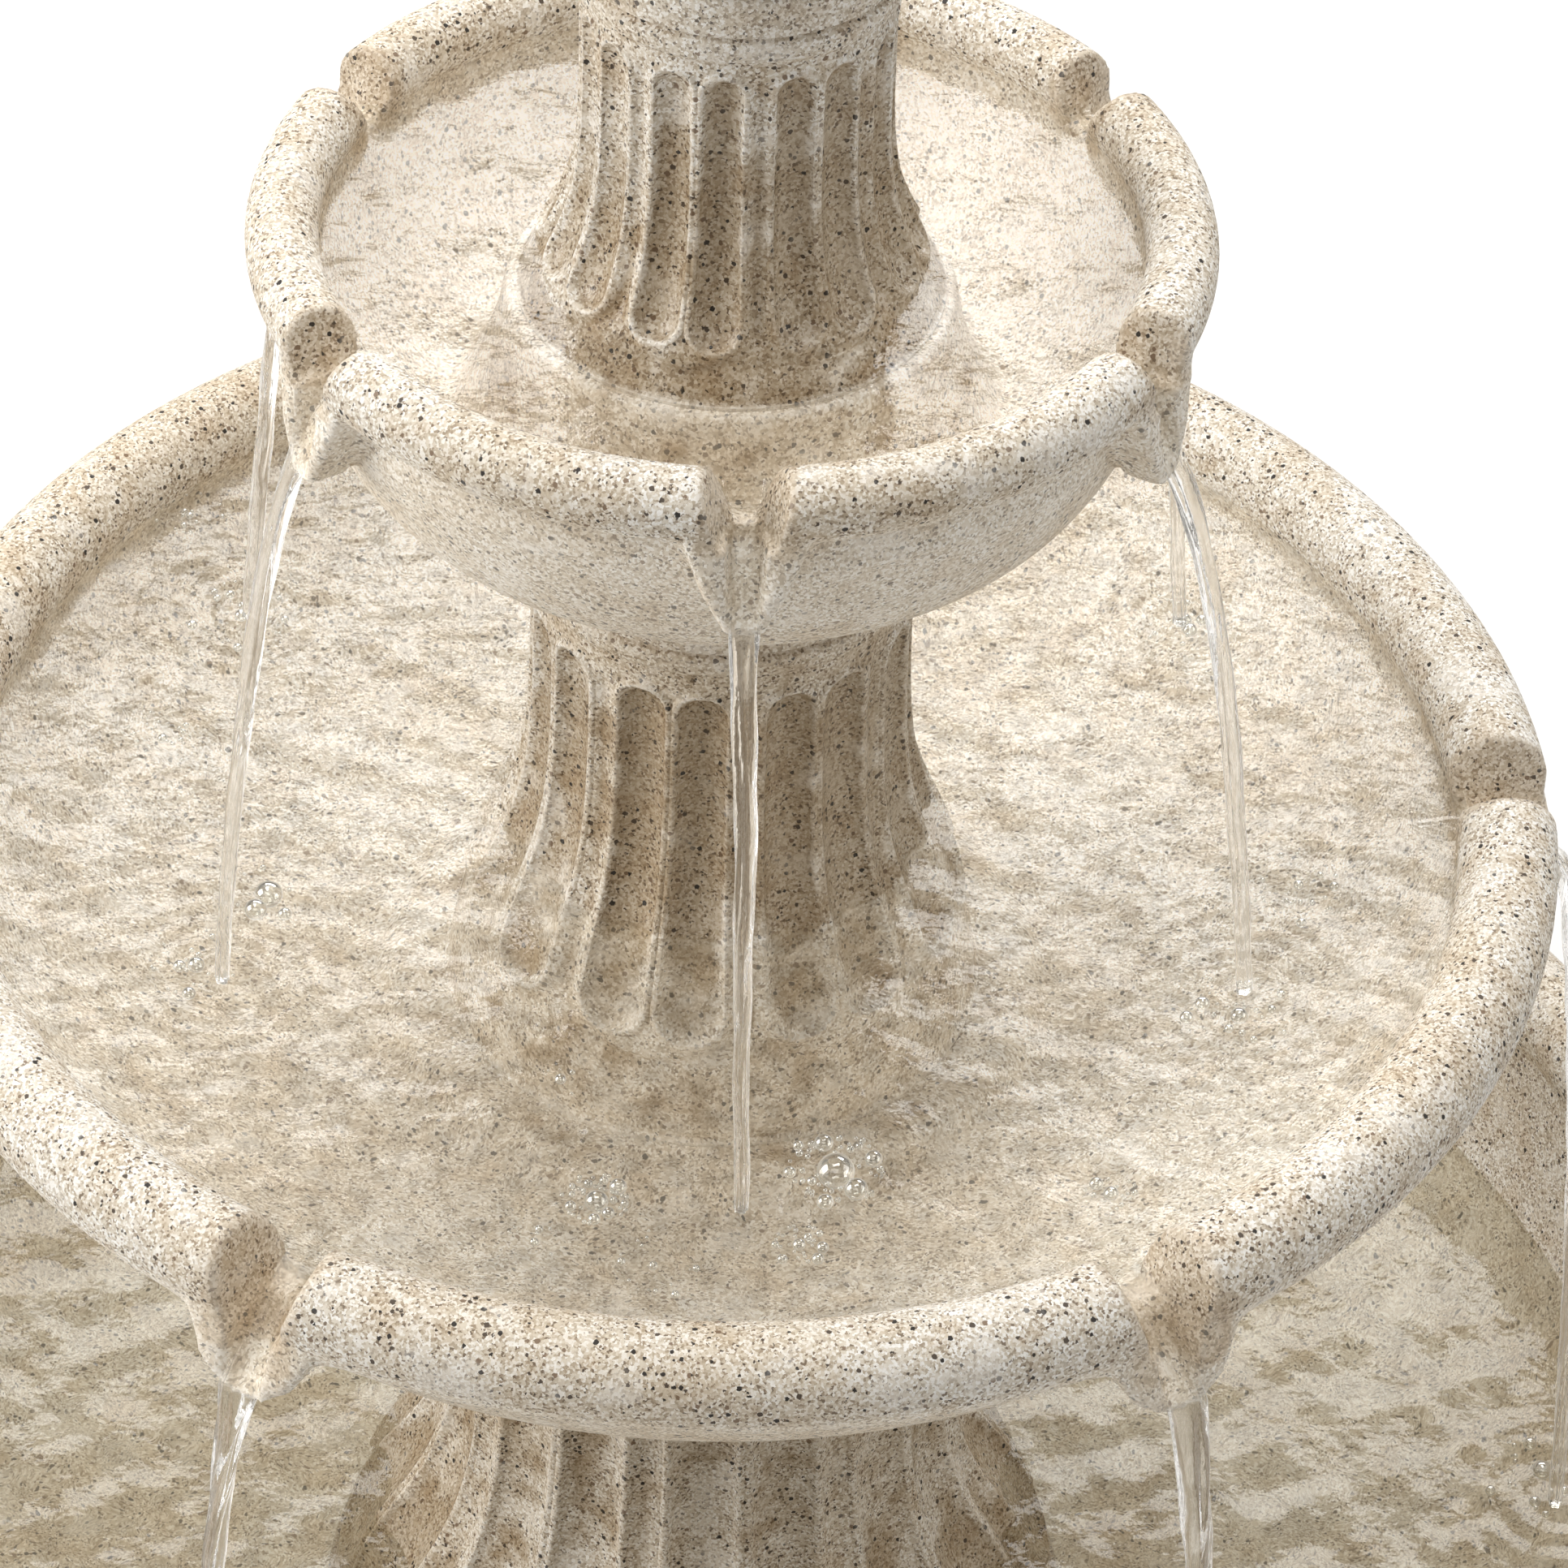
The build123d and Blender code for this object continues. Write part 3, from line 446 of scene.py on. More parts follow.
def plain(name, base, second, rough, grain=900.0, depth=0.00012, metal=0.0, bands=None, coat=0.0):
    """Moulded, rubber or metal parts: two-tone colour, uneven gloss, scuffs and fine relief."""
    k = Look(name)
    color = k.mix(k.fit(k.noise(30.0, 5.0), 0.35, 0.7), base, second)
    scuff = k.fit(k.noise(260.0, 6.0, at=k.stretched((1.0, 0.25, 1.0))), 0.62, 0.72)
    lighter = tuple(min(1.0, c * 1.35 + 0.03) for c in second)
    color = k.mix(k.math("MULTIPLY", scuff, 0.35), color, lighter)
    worn = k.fit(k.node("ShaderNodeNewGeometry").outputs["Pointiness"], 0.52, 0.6, 0.0, 0.5)
    color = k.mix(worn, color, lighter)
    relief = k.noise(grain, 3.0)
    if bands:
        inputs = {"Scale": bands[1], "Distortion": 0.4, "Vector": k.place}
        wave = k.node("ShaderNodeTexWave", inputs, bands_direction=bands[0])
        color = k.mix(k.fit(wave.outputs[1], 0.2, 0.5, 0.75, 0.0), color, tuple(c * 0.35 for c in base))
        relief = wave.outputs[1]
    k.set(
        Base_Color=color,
        Roughness=k.fit(k.noise(140.0, 4.0), 0.3, 0.7, max(0.04, rough - 0.1), min(1.0, rough + 0.12)),
        Normal=k.bump(relief, depth, 0.5),
    )
    k.shader.inputs["Metallic"].default_value = metal
    k.shader.inputs["Coat Weight"].default_value = coat
    return k.material


def clear_tube(name):
    """Soft see-through hose, a little cloudy."""
    k = Look(name)
    cloud = k.fit(k.noise(90.0, 4.0), 0.3, 0.7, 0.08, 0.26)
    k.set(Roughness=cloud, Normal=k.bump(k.noise(160.0, 3.0), 0.0002, 0.4))
    k.shader.inputs["Base Color"].default_value = (0.90, 0.93, 0.90, 1)
    k.shader.inputs["Transmission Weight"].default_value = 0.92
    k.shader.inputs["IOR"].default_value = 1.45
    return k.material


def foam(name):
    """Open-celled filter foam."""
    k = Look(name)
    pores = k.cells(520.0)
    # Darker in the middle of each pore: painted shade in the pores.
    hole = k.fit(pores.outputs["Distance"], 0.15, 0.5)
    k.set(
        Base_Color=k.mix(hole, (0.012, 0.013, 0.014), (0.075, 0.08, 0.085)),
        Roughness=k.fit(hole, 0.0, 1.0, 1.0, 0.8),
        Normal=k.bump(pores.outputs["Distance"], 0.0012, 0.9),
    )
    return k.material


SLOT_LOOKS = {
    "stone": stone("cast_stone"),
    "black_rubber": plain(
        "black_rubber", (0.016, 0.016, 0.017), (0.03, 0.03, 0.032), 0.62, 1400.0, 0.0001,
    ),
    "clear_vinyl": clear_tube("clear_vinyl"),
    "grey_plastic": plain("grey_plastic", (0.20, 0.205, 0.21), (0.26, 0.262, 0.265), 0.46),
    "pump_plastic": plain(
        "pump_plastic", (0.012, 0.013, 0.016), (0.028, 0.029, 0.033), 0.38, 1500.0, 0.00014,
    ),
    "dial_plastic": plain("dial_plastic", (0.03, 0.10, 0.30), (0.05, 0.14, 0.38), 0.4),
    "impeller_plastic": plain("impeller_plastic", (0.62, 0.62, 0.58), (0.72, 0.71, 0.66), 0.4),
    "ferrite": plain("ferrite", (0.035, 0.034, 0.036), (0.07, 0.068, 0.07), 0.55, 700.0, 0.0002, 0.3),
    "white_ceramic": plain(
        "white_ceramic", (0.80, 0.79, 0.75), (0.88, 0.87, 0.84), 0.16, 1200.0, 0.00003,
    ),
    "steel": plain("steel", (0.55, 0.55, 0.56), (0.68, 0.68, 0.69), 0.27, 1800.0, 0.00005, 1.0),
    "lamination_steel": plain(
        "lamination_steel", (0.36, 0.37, 0.39), (0.45, 0.45, 0.47), 0.42, metal=1.0, bands=("Y", 260.0),
    ),
    "copper": plain(
        "copper", (0.62, 0.24, 0.10), (0.74, 0.33, 0.16), 0.3, metal=0.9, bands=("Y", 420.0), coat=0.5,
    ),
    "filter_foam": foam("filter_foam"),
}
SMALL_STONE = stone(
    "small_bowl_stone", stains=True, wet_kept=True, under_water=(SMALL_WATER_Z * MM, 0.004),
)
LARGE_STONE = stone(
    "large_bowl_stone", stains=True, wet_kept=True, under_water=(LARGE_WATER_Z * MM, 0.011),
)
COLUMN_STONE = stone("column_stone", wet_kept=True)
MIDDLE_STONE = stone("middle_column_stone", wet_kept=True, under_water=(LARGE_WATER_Z * MM, 0.007))
POOL_STONE = stone("pool_stone", under_water=(POOL_WATER_Z * MM, 0.016))
FINIAL_STONE = stone("finial_stone", wet_from=(0.80, 1.20))
STILL_WATER = water("still_water", (0.985, 0.98, 0.965), 0.0009, 95.0, 0.17)
DEEP_WATER = water("deep_water", (0.875, 0.86, 0.805), 0.0005, 70.0, 0.12)
CALM_WATER = water("calm_water", (0.99, 0.985, 0.975), 0.0004, 120.0, 0.1)
POURING_WATER = falling_water("pouring_water", (0.985, 0.985, 0.98), 0.0006, 210.0)
BUBBLE_FILM = film("bubble_film")

for part in frame["record"]["subparts"]:
    node = frame["nodes"][part["node"]]
    own = {"pool_basin": POOL_STONE, "finial": FINIAL_STONE}
    look = own.get(part["node"], SLOT_LOOKS[part["material_slot"]])
    node.data.materials.clear()
    node.data.materials.append(look)


# ---------------------------------------------------------------- fluted columns
def flute_relief(swing, along, radius, ends, depth, bead, lobe):
    """How far the surface stands off the plain shaft, for angles either side of a pair's ridge.

    Two sunk flutes lie side by side with raised edges. A groove runs between one pair and the
    next, and each pair ends at the foot in one round tongue.
    """
    low, high = ends
    scale = (radius * math.pi / 180)[:, None]
    half = FLUTE_HALF * scale
    half_low, half_high = np.interp([low, high], along, half[:, 0])
    below = np.clip((low + half_low - along) / half_low, 0, None)
    above = np.clip((along - high + half_high) / half_high, 0, None)
    off = (np.abs(swing) - FLUTE_SPREAD)[None, :] * scale
    spread = np.hypot(off / half, np.maximum(below, above)[:, None])
    gap = (spread - 1) * half
    inside = np.clip((-gap - 0.6 * bead) / (half - 0.6 * bead), 0, 1)
    channel = -depth * (1 - (1 - inside) ** 2) ** 0.8
    edge = 0.62 * bead * np.sqrt(np.clip(1 - (gap / bead) ** 2, 0, 1))
    running = ease(along, low, low + half_low) * (1 - ease(along, high - 0.7 * half_high, high))
    seam = (PAIR_HALF - np.abs(swing))[None, :] / GROOVE_HALF
    groove = -0.75 * bead * np.clip(1 - seam**2, 0, 1) * running[:, None]
    tongue_low, round_part, step = lobe
    tongue = np.clip((tongue_low + round_part - along) / round_part, 0, None)[:, None]
    beyond = ease(np.hypot((swing / TONGUE_HALF)[None, :], tongue), 0.93, 1.05)
    near_foot = (1 - ease(along, low + half_low, low + 3.5 * half_low))[:, None]
    return channel + edge + groove - step * beyond * near_foot


def marched(start, stop, spacing):
    """Stations from start to stop whose spacing depends on where they are."""
    out = [start]
    while out[-1] + 1.4 * spacing(out[-1]) < stop:
        out.append(out[-1] + spacing(out[-1]))
    return np.array(out + [stop])


def pair_stations():
    """Angles from a pair's ridge to half way to the next pair on either side, dense at the edges."""
    half = [0.45, 0.9, 1.35, 1.8, 2.3, 3.1, 4.3, 5.9, 7.6, 9.3, 11.0, 12.7, 14.3, 15.5, 16.3]
    half = np.array(half + [16.8, 17.25, 17.7, 18.15, 18.6, 19.1, 19.7, 20.5, 21.5])
    return np.r_[-half[::-1], 0, half, PAIR_HALF]


def collar_profile(neck_r, collar, mouth):
    """From the neck over the moulded collar and the top, and down into the mouth."""
    collar_r, collar_z, top_z = collar
    mouth_r, lip_z = mouth
    flare = collar_r - neck_r
    bead = [(-0.75 * flare, -2.6), (-0.2 * flare, -1.2), (-0.3, 0.6), (0, 2.6), (-0.1, 4.6)]
    bead += [(-1.5, 5.6), (-1.7, 6.8), (-0.3, 8.0)]
    top = [(0, -4.2), (-0.25, -2.4), (-1.0, -1.0), (-2.4, -0.15), (-4, 0)]
    inner = [(2, top_z), (0.3, top_z - 0.5), (0, top_z - 2), (0, lip_z)]
    outer = [(x, collar_z + z) for x, z in bead] + [(x, top_z + z) for x, z in top]
    return [(collar_r + x, z) for x, z in outer] + [(mouth_r + x, z) for x, z in inner]


def column(
    name, node, body, look, shaft, collar, mouth, wall, span, depth, bead, wet,
    pair_angle=PAIR_ANGLE, arch=None, skirt=1.95,
):
    """A hollow column from its foot up: fluted shaft, moulded collar, open mouth, plain bore."""
    curve = smooth_curve(shaft, 1600)
    along = run_length(curve)
    tongue_low, low, high = np.interp(span, curve[:, 1], along)
    flute = math.pi / 90 * FLUTE_HALF * np.interp([low, high], along, curve[:, 0])

    def spacing(s):
        busy = s < low + 0.9 * flute[0] or s > high - 0.8 * flute[1]
        return bead * (0.62 if busy else 1.9)

    s = marched(0.0, along[-1], spacing)
    side = np.stack([np.interp(s, along, curve[:, i]) for i in (0, 1)], -1)
    normal = np.stack([np.interp(s, along, outward(curve)[:, i]) for i in (0, 1)], -1)
    swing = pair_stations()
    lobe = (tongue_low, 0.8 * flute[0], 0.9 * bead)
    relief = flute_relief(swing, s, side[:, 0], (low, high), depth, bead, lobe)
    relief = np.tile(relief, (1, FLUTE_PAIRS))
    centres = pair_angle + 360 / FLUTE_PAIRS * np.arange(FLUTE_PAIRS)
    angles = (centres[:, None] + swing[None, :]).ravel()
    cols = len(angles)
    r = side[:, :1] + normal[:, :1] * relief
    z = side[:, 1:] + normal[:, 1:] * relief
    bore = smooth_curve([(a - wall, b) for a, b in reversed(shaft)], 34)
    rest = np.array(collar_profile(shaft[-1][0], collar, mouth) + [tuple(q) for q in bore])
    foot_r, foot_z = shaft[0]
    foot_z -= skirt
    foot = np.array([(foot_r - 1.4, foot_z), (foot_r, foot_z), (foot_r, foot_z + 1.2)])
    side_r = np.concatenate([np.tile(foot[:, :1], (1, cols)), r[1:], np.tile(rest[:, :1], (1, cols))])
    side_z = np.concatenate([np.tile(foot[:, 1:], (1, cols)), z[1:], np.tile(rest[:, 1:], (1, cols))])
    verts = turned(side_r, side_z, angles)
    mesh = mesh_from(name, verts, grid_faces(len(side_r), cols, wrap_rows=True))
    if arch:
        mesh = cut_arch(mesh, arch)
    p = points_of(mesh)
    heights = np.array([q[1] for q in shaft])
    # Wetter, so darker, down in the flute channels: partly water held there, partly painted shade in the
    # channels.
    sunk = np.interp(p[:, 2], heights, [q[0] for q in shaft]) - np.hypot(p[:, 0], p[:, 1])
    sunk = ease(sunk, -0.3 * bead, 0.8 * depth) * (p[:, 2] < heights[-1] - 4)
    store(mesh, "wet", wet(p) + 0.42 * sunk - 0.1)
    return add_piece(name, mesh, look, body, node, 38)


def cut_arch(mesh, arch):
    """Opens the hand hole through the back of the lowest column."""
    width, height, foot_z, near_y, far_y = arch
    radius = width / 2
    turn = np.radians(np.linspace(0, 180, 33))
    spring_z = foot_z + height - radius
    outline = [(radius * math.cos(t), spring_z + radius * math.sin(t)) for t in turn]
    outline = [(radius, foot_z - 20)] + outline + [(-radius, foot_z - 20)]
    n = len(outline)
    verts = np.array([(x, y, z) for y in (near_y, far_y) for x, z in outline]) * MM
    faces = [[n + i, n + (i + 1) % n, (i + 1) % n, i] for i in range(n)]
    faces += [list(range(n)), list(range(2 * n - 1, n - 1, -1))]
    cutter = bpy.data.objects.new("arch_cutter", mesh_from("arch_cutter", verts, faces))
    body = bpy.data.objects.new("arch_body", mesh)
    for o in (cutter, body):
        bpy.context.scene.collection.objects.link(o)
    hole = body.modifiers.new("arch", "BOOLEAN")
    hole.operation, hole.solver, hole.object = "DIFFERENCE", "EXACT", cutter
    made = baked(body)
    bpy.data.objects.remove(cutter)
    return made


# How wet each column is: most just above the water. Less wet, so lighter, on its left side: painted light on
# the side the light comes from.
def wet_and_painted_left_light_top(p):
    above = 0.32 + 0.5 * (1 - ease(p[:, 2], 735, 850)) - 0.45 * ease(-p[:, 0], 5, 45)
    return np.where(p[:, 2] > SMALL_WATER_Z - 3, above, 0.5)


def wet_and_painted_left_light_middle(p):
    above = 0.30 + 0.4 * (1 - ease(p[:, 2], 560, 625)) - 0.35 * ease(-p[:, 0], 10, 55)
    return np.where(p[:, 2] > LARGE_WATER_Z, above, 0.3)


def wet_pedestal(p):
    return 0.15 + 0.75 * (1 - ease(p[:, 2], 105, 150))


PEDESTAL_SHAFT = [(154, 43), (152, 54), (147, 70), (140, 90), (130, 112), (118, 131), (108, 152)]
PEDESTAL_SHAFT += [(101, 180), (96.5, 220), (94.5, 262), (94, 300), (95, 332)]
MIDDLE_SHAFT = [(100, 408), (98.5, 420), (95, 436), (89, 460), (80, 483), (73.5, 501)]
MIDDLE_SHAFT += [(69.5, 521), (67.6, 545), (67, 568), (67.2, 588), (68, 600)]
TOP_SHAFT = [(72.5, 720), (66.5, 733), (61, 744), (56.5, 755), (53, 770), (51.4, 786)]
TOP_SHAFT += [(51, 805), (51, 824), (51.6, 838)]

column(
    "lower_column", "pedestal", "root", COLUMN_STONE, PEDESTAL_SHAFT, (99, 338, 370), (60, 352), 12,
    (62, 70, 326), 5.0, 2.2, wet_pedestal, PEDESTAL_PAIR_ANGLE, arch=(100, 92, 43, 70, 175), skirt=0.0,
)
column(
    "middle_column_flutes", "middle_column", "large_tier", MIDDLE_STONE, MIDDLE_SHAFT, (70, 604, 632),
    (50, 616), 10, (441, 448, 591), 4.0, 1.6, wet_and_painted_left_light_middle,
)
column(
    "top_column_flutes", "top_column", "small_tier", COLUMN_STONE, TOP_SHAFT, (54.5, 842, 864),
    (36, 852), 8, (730.5, 735, 833), 3.3, 1.3, wet_and_painted_left_light_top,
)


# ---------------------------------------------------------------- bowls
def softened(mesh, weight, rounds):
    """Relaxes a mesh where its points' weights are above 0."""
    shell = bpy.data.objects.new("shell", mesh)
    bpy.context.scene.collection.objects.link(shell)
    group = shell.vertex_groups.new(name="soft")
    levels = np.round(weight * 8).astype(int)
    for level in range(1, 9):
        group.add(np.flatnonzero(levels == level).tolist(), level / 8, "REPLACE")
    smooth = shell.modifiers.new("soften", "SMOOTH")
    smooth.factor, smooth.iterations, smooth.vertex_group = 0.5, rounds, "soft"
    return baked(shell)


def by_spout(p, spout_angle):
    """Radius, distance sideways from the nearest spout's middle, and distance along it."""
    radius = np.hypot(p[:, 0], p[:, 1])
    step = 360 / SPOUTS
    angle = np.degrees(np.arctan2(p[:, 0], -p[:, 1])) - spout_angle
    off = np.radians((angle + step / 2) % step - step / 2)
    return radius, radius * np.sin(off), radius * np.cos(off)


def flared(mesh, rim, spout_angle, beak):
    """Draws the wall under the rolled rim out into each beak, so that the beak is a wide wedge."""
    rim_r, rim_z, roll = rim
    tip_r, tip_z, crest_z, tip_half, root_half = beak
    p = points_of(mesh)
    radius, across, along = by_spout(p, spout_angle)
    off, z = np.abs(across), p[:, 2]
    rise = np.clip((z - tip_z) / (rim_z - tip_z), 0, 1)
    edge_r = tip_r - 1.5 + (rim_r + roll - 0.5 - tip_r + 1.5) * rise
    half = tip_half + 1 + (root_half - tip_half - 1) * np.clip(rise / 0.65, 0, 1)
    beside_tip = ease(off, 0.7 * tip_half, 1.1 * tip_half)
    outside = ease(along, rim_r - 0.65 * roll, rim_r - 0.15 * roll)
    share = np.clip(1 - (off - tip_half) / (half - tip_half), 0, 1) ** 1.3 * beside_tip
    share *= (1 - ease(z, crest_z - 4, crest_z)) * ease(z, tip_z - 3, tip_z + 3) * outside
    push = np.clip(edge_r - along, 0, None) * share
    p[:, :2] *= (1 + push / radius)[:, None]
    move_points(mesh, p)
    near = (1 - ease(off, root_half, root_half + 8)) * outside * beside_tip
    near *= ease(z, tip_z - 5, tip_z + 2) * (1 - ease(z, crest_z - 5, crest_z))
    return softened(mesh, near, 8)


def bowl(name, node, body, look, voxel, rim, spout_angle, notch_half, beak, plinth, crease=None):
    """The bowl with the softened edges of a casting, and its notches marked for staining."""
    rim_r, rim_z, roll = rim
    plinth_r, plinth_end_r, plinth_z = plinth
    source = bpy.data.objects.new(name + "_source", frame["nodes"][node].data.copy())
    bpy.context.scene.collection.objects.link(source)
    remesh = source.modifiers.new("remesh", "REMESH")
    remesh.mode, remesh.voxel_size = "VOXEL", voxel * MM
    soften = source.modifiers.new("soften", "SMOOTH")
    soften.factor, soften.iterations = 0.5, 2
    mesh = baked(source)
    p = points_of(mesh)
    radius = np.hypot(p[:, 0], p[:, 1])
    on_plinth = ease(radius, plinth_r, plinth_r + 3) * (1 - ease(radius, plinth_end_r - 12, plinth_end_r))
    mesh = flared(softened(mesh, on_plinth, 45), rim, spout_angle, beak)
    p = points_of(mesh)
    radius, across, along = by_spout(p, spout_angle)
    in_notch = 1 - ease(np.abs(across), 0.8 * notch_half, 1.45 * notch_half)
    in_notch *= ease(along, rim_r - 1.7 * roll, rim_r - 0.9 * roll)
    in_notch *= ease(p[:, 2], rim_z - 1.3 * roll, rim_z - 0.7 * roll) * 0.9 + 0.1
    store(mesh, "stain", in_notch)
    # Round the column's foot the floor gets a share of the wet value too, so it is drawn darker and glossier
    # there.
    by_plinth = (1 - ease(radius, plinth_r + 4, plinth_r + 34)) * (p[:, 2] > plinth_z)
    store(mesh, "wet", np.maximum(0.2 * in_notch, 0.42 * by_plinth))
    if crease:
        crease_r, crease_z, height = crease
        away = np.hypot(radius - crease_r, p[:, 2] - crease_z)
        lift = height * np.exp(-((away / 2.2) ** 2)) * ease(np.abs(across), notch_half, 2.2 * notch_half)
        p[:, :2] *= (1 + lift / radius)[:, None]
        move_points(mesh, p)
    return add_piece(name, mesh, look, body, node, 60)


bowl(
    "small_bowl_casting", "small_bowl", "small_tier", SMALL_STONE, 1.5, SMALL_RIM, SMALL_SPOUT_ANGLE, 14.5,
    beak=(*SMALL_TIP, 6.5, 27), plinth=(75, 104, 664), crease=(148.5, 712, 0.9),
)
bowl(
    "large_bowl_casting", "large_bowl", "large_tier", LARGE_STONE, 2.4, LARGE_RIM, LARGE_SPOUT_ANGLE, 17.0,
    beak=(*LARGE_TIP, 8.5, 36), plinth=(103, 150, 394),
)


# ---------------------------------------------------------------- water
def chop(x, y, seed, size, waves=18, lengths=(13, 46)):
    """Small crossing waves: a fixed sum of sines."""
    pick = random.Random(seed)
    total = np.zeros_like(x)
    for _ in range(waves):
        heading = pick.uniform(0, 2 * math.pi)
        length = pick.uniform(*lengths)
        phase = pick.uniform(0, 2 * math.pi)
        total += size * (length / lengths[1]) * np.sin(
            2 * math.pi * (x * math.cos(heading) + y * math.sin(heading)) / length + phase
        )
    return total / math.sqrt(waves)


def rings(x, y, centres, height, length, reach):
    """Ring waves that spread from the places where water lands."""
    total = np.zeros_like(x)
    for cx, cy in centres:
        d = np.hypot(x - cx, y - cy)
        total += height * np.exp(-d / reach) * np.sin(2 * math.pi * d / length) * ease(d, 2, 9)
    return total


def spot(radius, angle):
    """X and Y of a place at this radius and angle."""
    a = math.radians(angle)
    return radius * math.sin(a), -radius * math.cos(a)


def water_body(
    name, body, level, r_in, r_out, under, landings, seed, wave, ring, step, cols, look=STILL_WATER,
):
    """Standing water: a rippled top, and an underside that lies just inside the stone."""
    radii = np.linspace(r_out, r_in, int((r_out - r_in) / step) + 2)
    angles = np.arange(cols) * 360 / cols
    rr = np.tile(radii[:, None], (1, cols))
    a = np.radians(angles)[None, :]
    x, y = rr * np.sin(a), -rr * np.cos(a)
    calm = ease(rr, r_in, r_in + 8)
    z = level + calm * (chop(x, y, seed, wave) + rings(x, y, landings, *ring))
    floor = np.array(under, float)
    all_r = np.concatenate([rr, np.tile(floor[:, :1], (1, cols))])
    all_z = np.concatenate([z, np.tile(floor[:, 1:], (1, cols))])
    mesh = mesh_from(name, turned(all_r, all_z, angles), grid_faces(len(all_r), cols, wrap_rows=True))
    return add_piece(name, mesh, look, body, sharp=60)


def into_stone(points, by=2.0, count=24):
    """The bowl's inside, moved a little way into the stone: the profile runs outwards and up."""
    curve = smooth_curve(points, count)
    return [tuple(q) for q in curve + outward(curve) * by]


SMALL_ANGLES = [SMALL_SPOUT_ANGLE + 360 / SPOUTS * i for i in range(SPOUTS)]
LARGE_ANGLES = [LARGE_SPOUT_ANGLE + 360 / SPOUTS * i for i in range(SPOUTS)]
UPPER_LANDING = [(208, 3.2), (210, 63.4), (206, 122), (206, 182), (203, 241.5), (200, 301)]
LOWER_LANDING = [(352 + 3 * (i % 3), LARGE_ANGLES[i] + (1.0, -0.8)[i % 2]) for i in range(SPOUTS)]

small_inside = into_stone([(94, 666), (113, 675), (129, 695), (137, 716), (140.5, 734)])
small_inside.append((141.6, SMALL_WATER_Z - 0.2))
small_under = [(60.5, SMALL_WATER_Z - 1), (63, 724), (66, 714), (70.5, 709), (73, 697), (79.5, 680)]
small_under.append((89, 663))
water_body(
    "small_bowl_water", "small_tier", SMALL_WATER_Z, 60.5, 141.4, small_under + small_inside,
    [], 5, 0.25, (0.0, 10, 30), 1.5, 420, CALM_WATER,
)
large_inside = [(122, 396), (155, 400), (195, 409), (239, 431), (263, 458), (274, 484)]
large_inside = into_stone(large_inside, 2.5, 30)
large_inside.append((275.3, LARGE_WATER_Z - 0.2))
large_under = [(72, LARGE_WATER_Z - 1), (80, 460), (86, 436), (90, 420), (92, 402), (113, 400.5)]
large_under.append((115, 392.5))
water_body(
    "large_bowl_water", "large_tier", LARGE_WATER_Z, 72, 275.1, large_under + large_inside,
    [spot(*q) for q in UPPER_LANDING], 11, 0.62, (0.9, 9.5, 20), 2.1, 620,
)
pool_inside = into_stone([(296, 40), (340, 52), (375, 81), (396, 122)], 5.0, 26)
pool_inside = [q for q in pool_inside if q[1] < POOL_WATER_Z - 1] + [(391.6, POOL_WATER_Z - 0.3)]
pool_under = [(18, POOL_WATER_Z - 1), (18, 35), (282, 35)]
water_body(
    "pool_water", "root", POOL_WATER_Z, 18, 391.3, pool_under + pool_inside,
    [spot(*q) for q in LOWER_LANDING], 23, 0.4, (0.9, 14, 26), 3.4, 560, DEEP_WATER,
)


def stream_path(landing_r, rim, tip, level, end_level):
    """Radii and heights along a stream, and how many of them lie on the stone."""
    rim_r, rim_z, roll = rim
    tip_r, tip_z, crest_z = tip
    slide = [(rim_r - 1.75 * roll, level - 0.6), (rim_r - 1.0 * roll, level - 0.2)]
    slide += [(rim_r - 0.25 * roll, crest_z + 1.4), (rim_r + 0.25 * roll, crest_z - 0.18 * roll)]
    leave_r, leave_z = tip_r + 1.5, tip_z + 1.5
    slide = smooth_curve(slide + [(leave_r, leave_z)], 40)
    drop = leave_z - end_level
    time = (-LEAVING_SPEED + math.sqrt(LEAVING_SPEED**2 + 2 * GRAVITY * drop)) / GRAVITY
    out_speed = (landing_r - leave_r) / time
    t = np.linspace(0, time, 90)[1:]
    fall = np.stack([leave_r + out_speed * t, leave_z - LEAVING_SPEED * t - 0.5 * GRAVITY * t * t], -1)
    path = np.concatenate([slide, fall])
    path[-1, 1] = end_level - 1.0
    return path, len(slide)


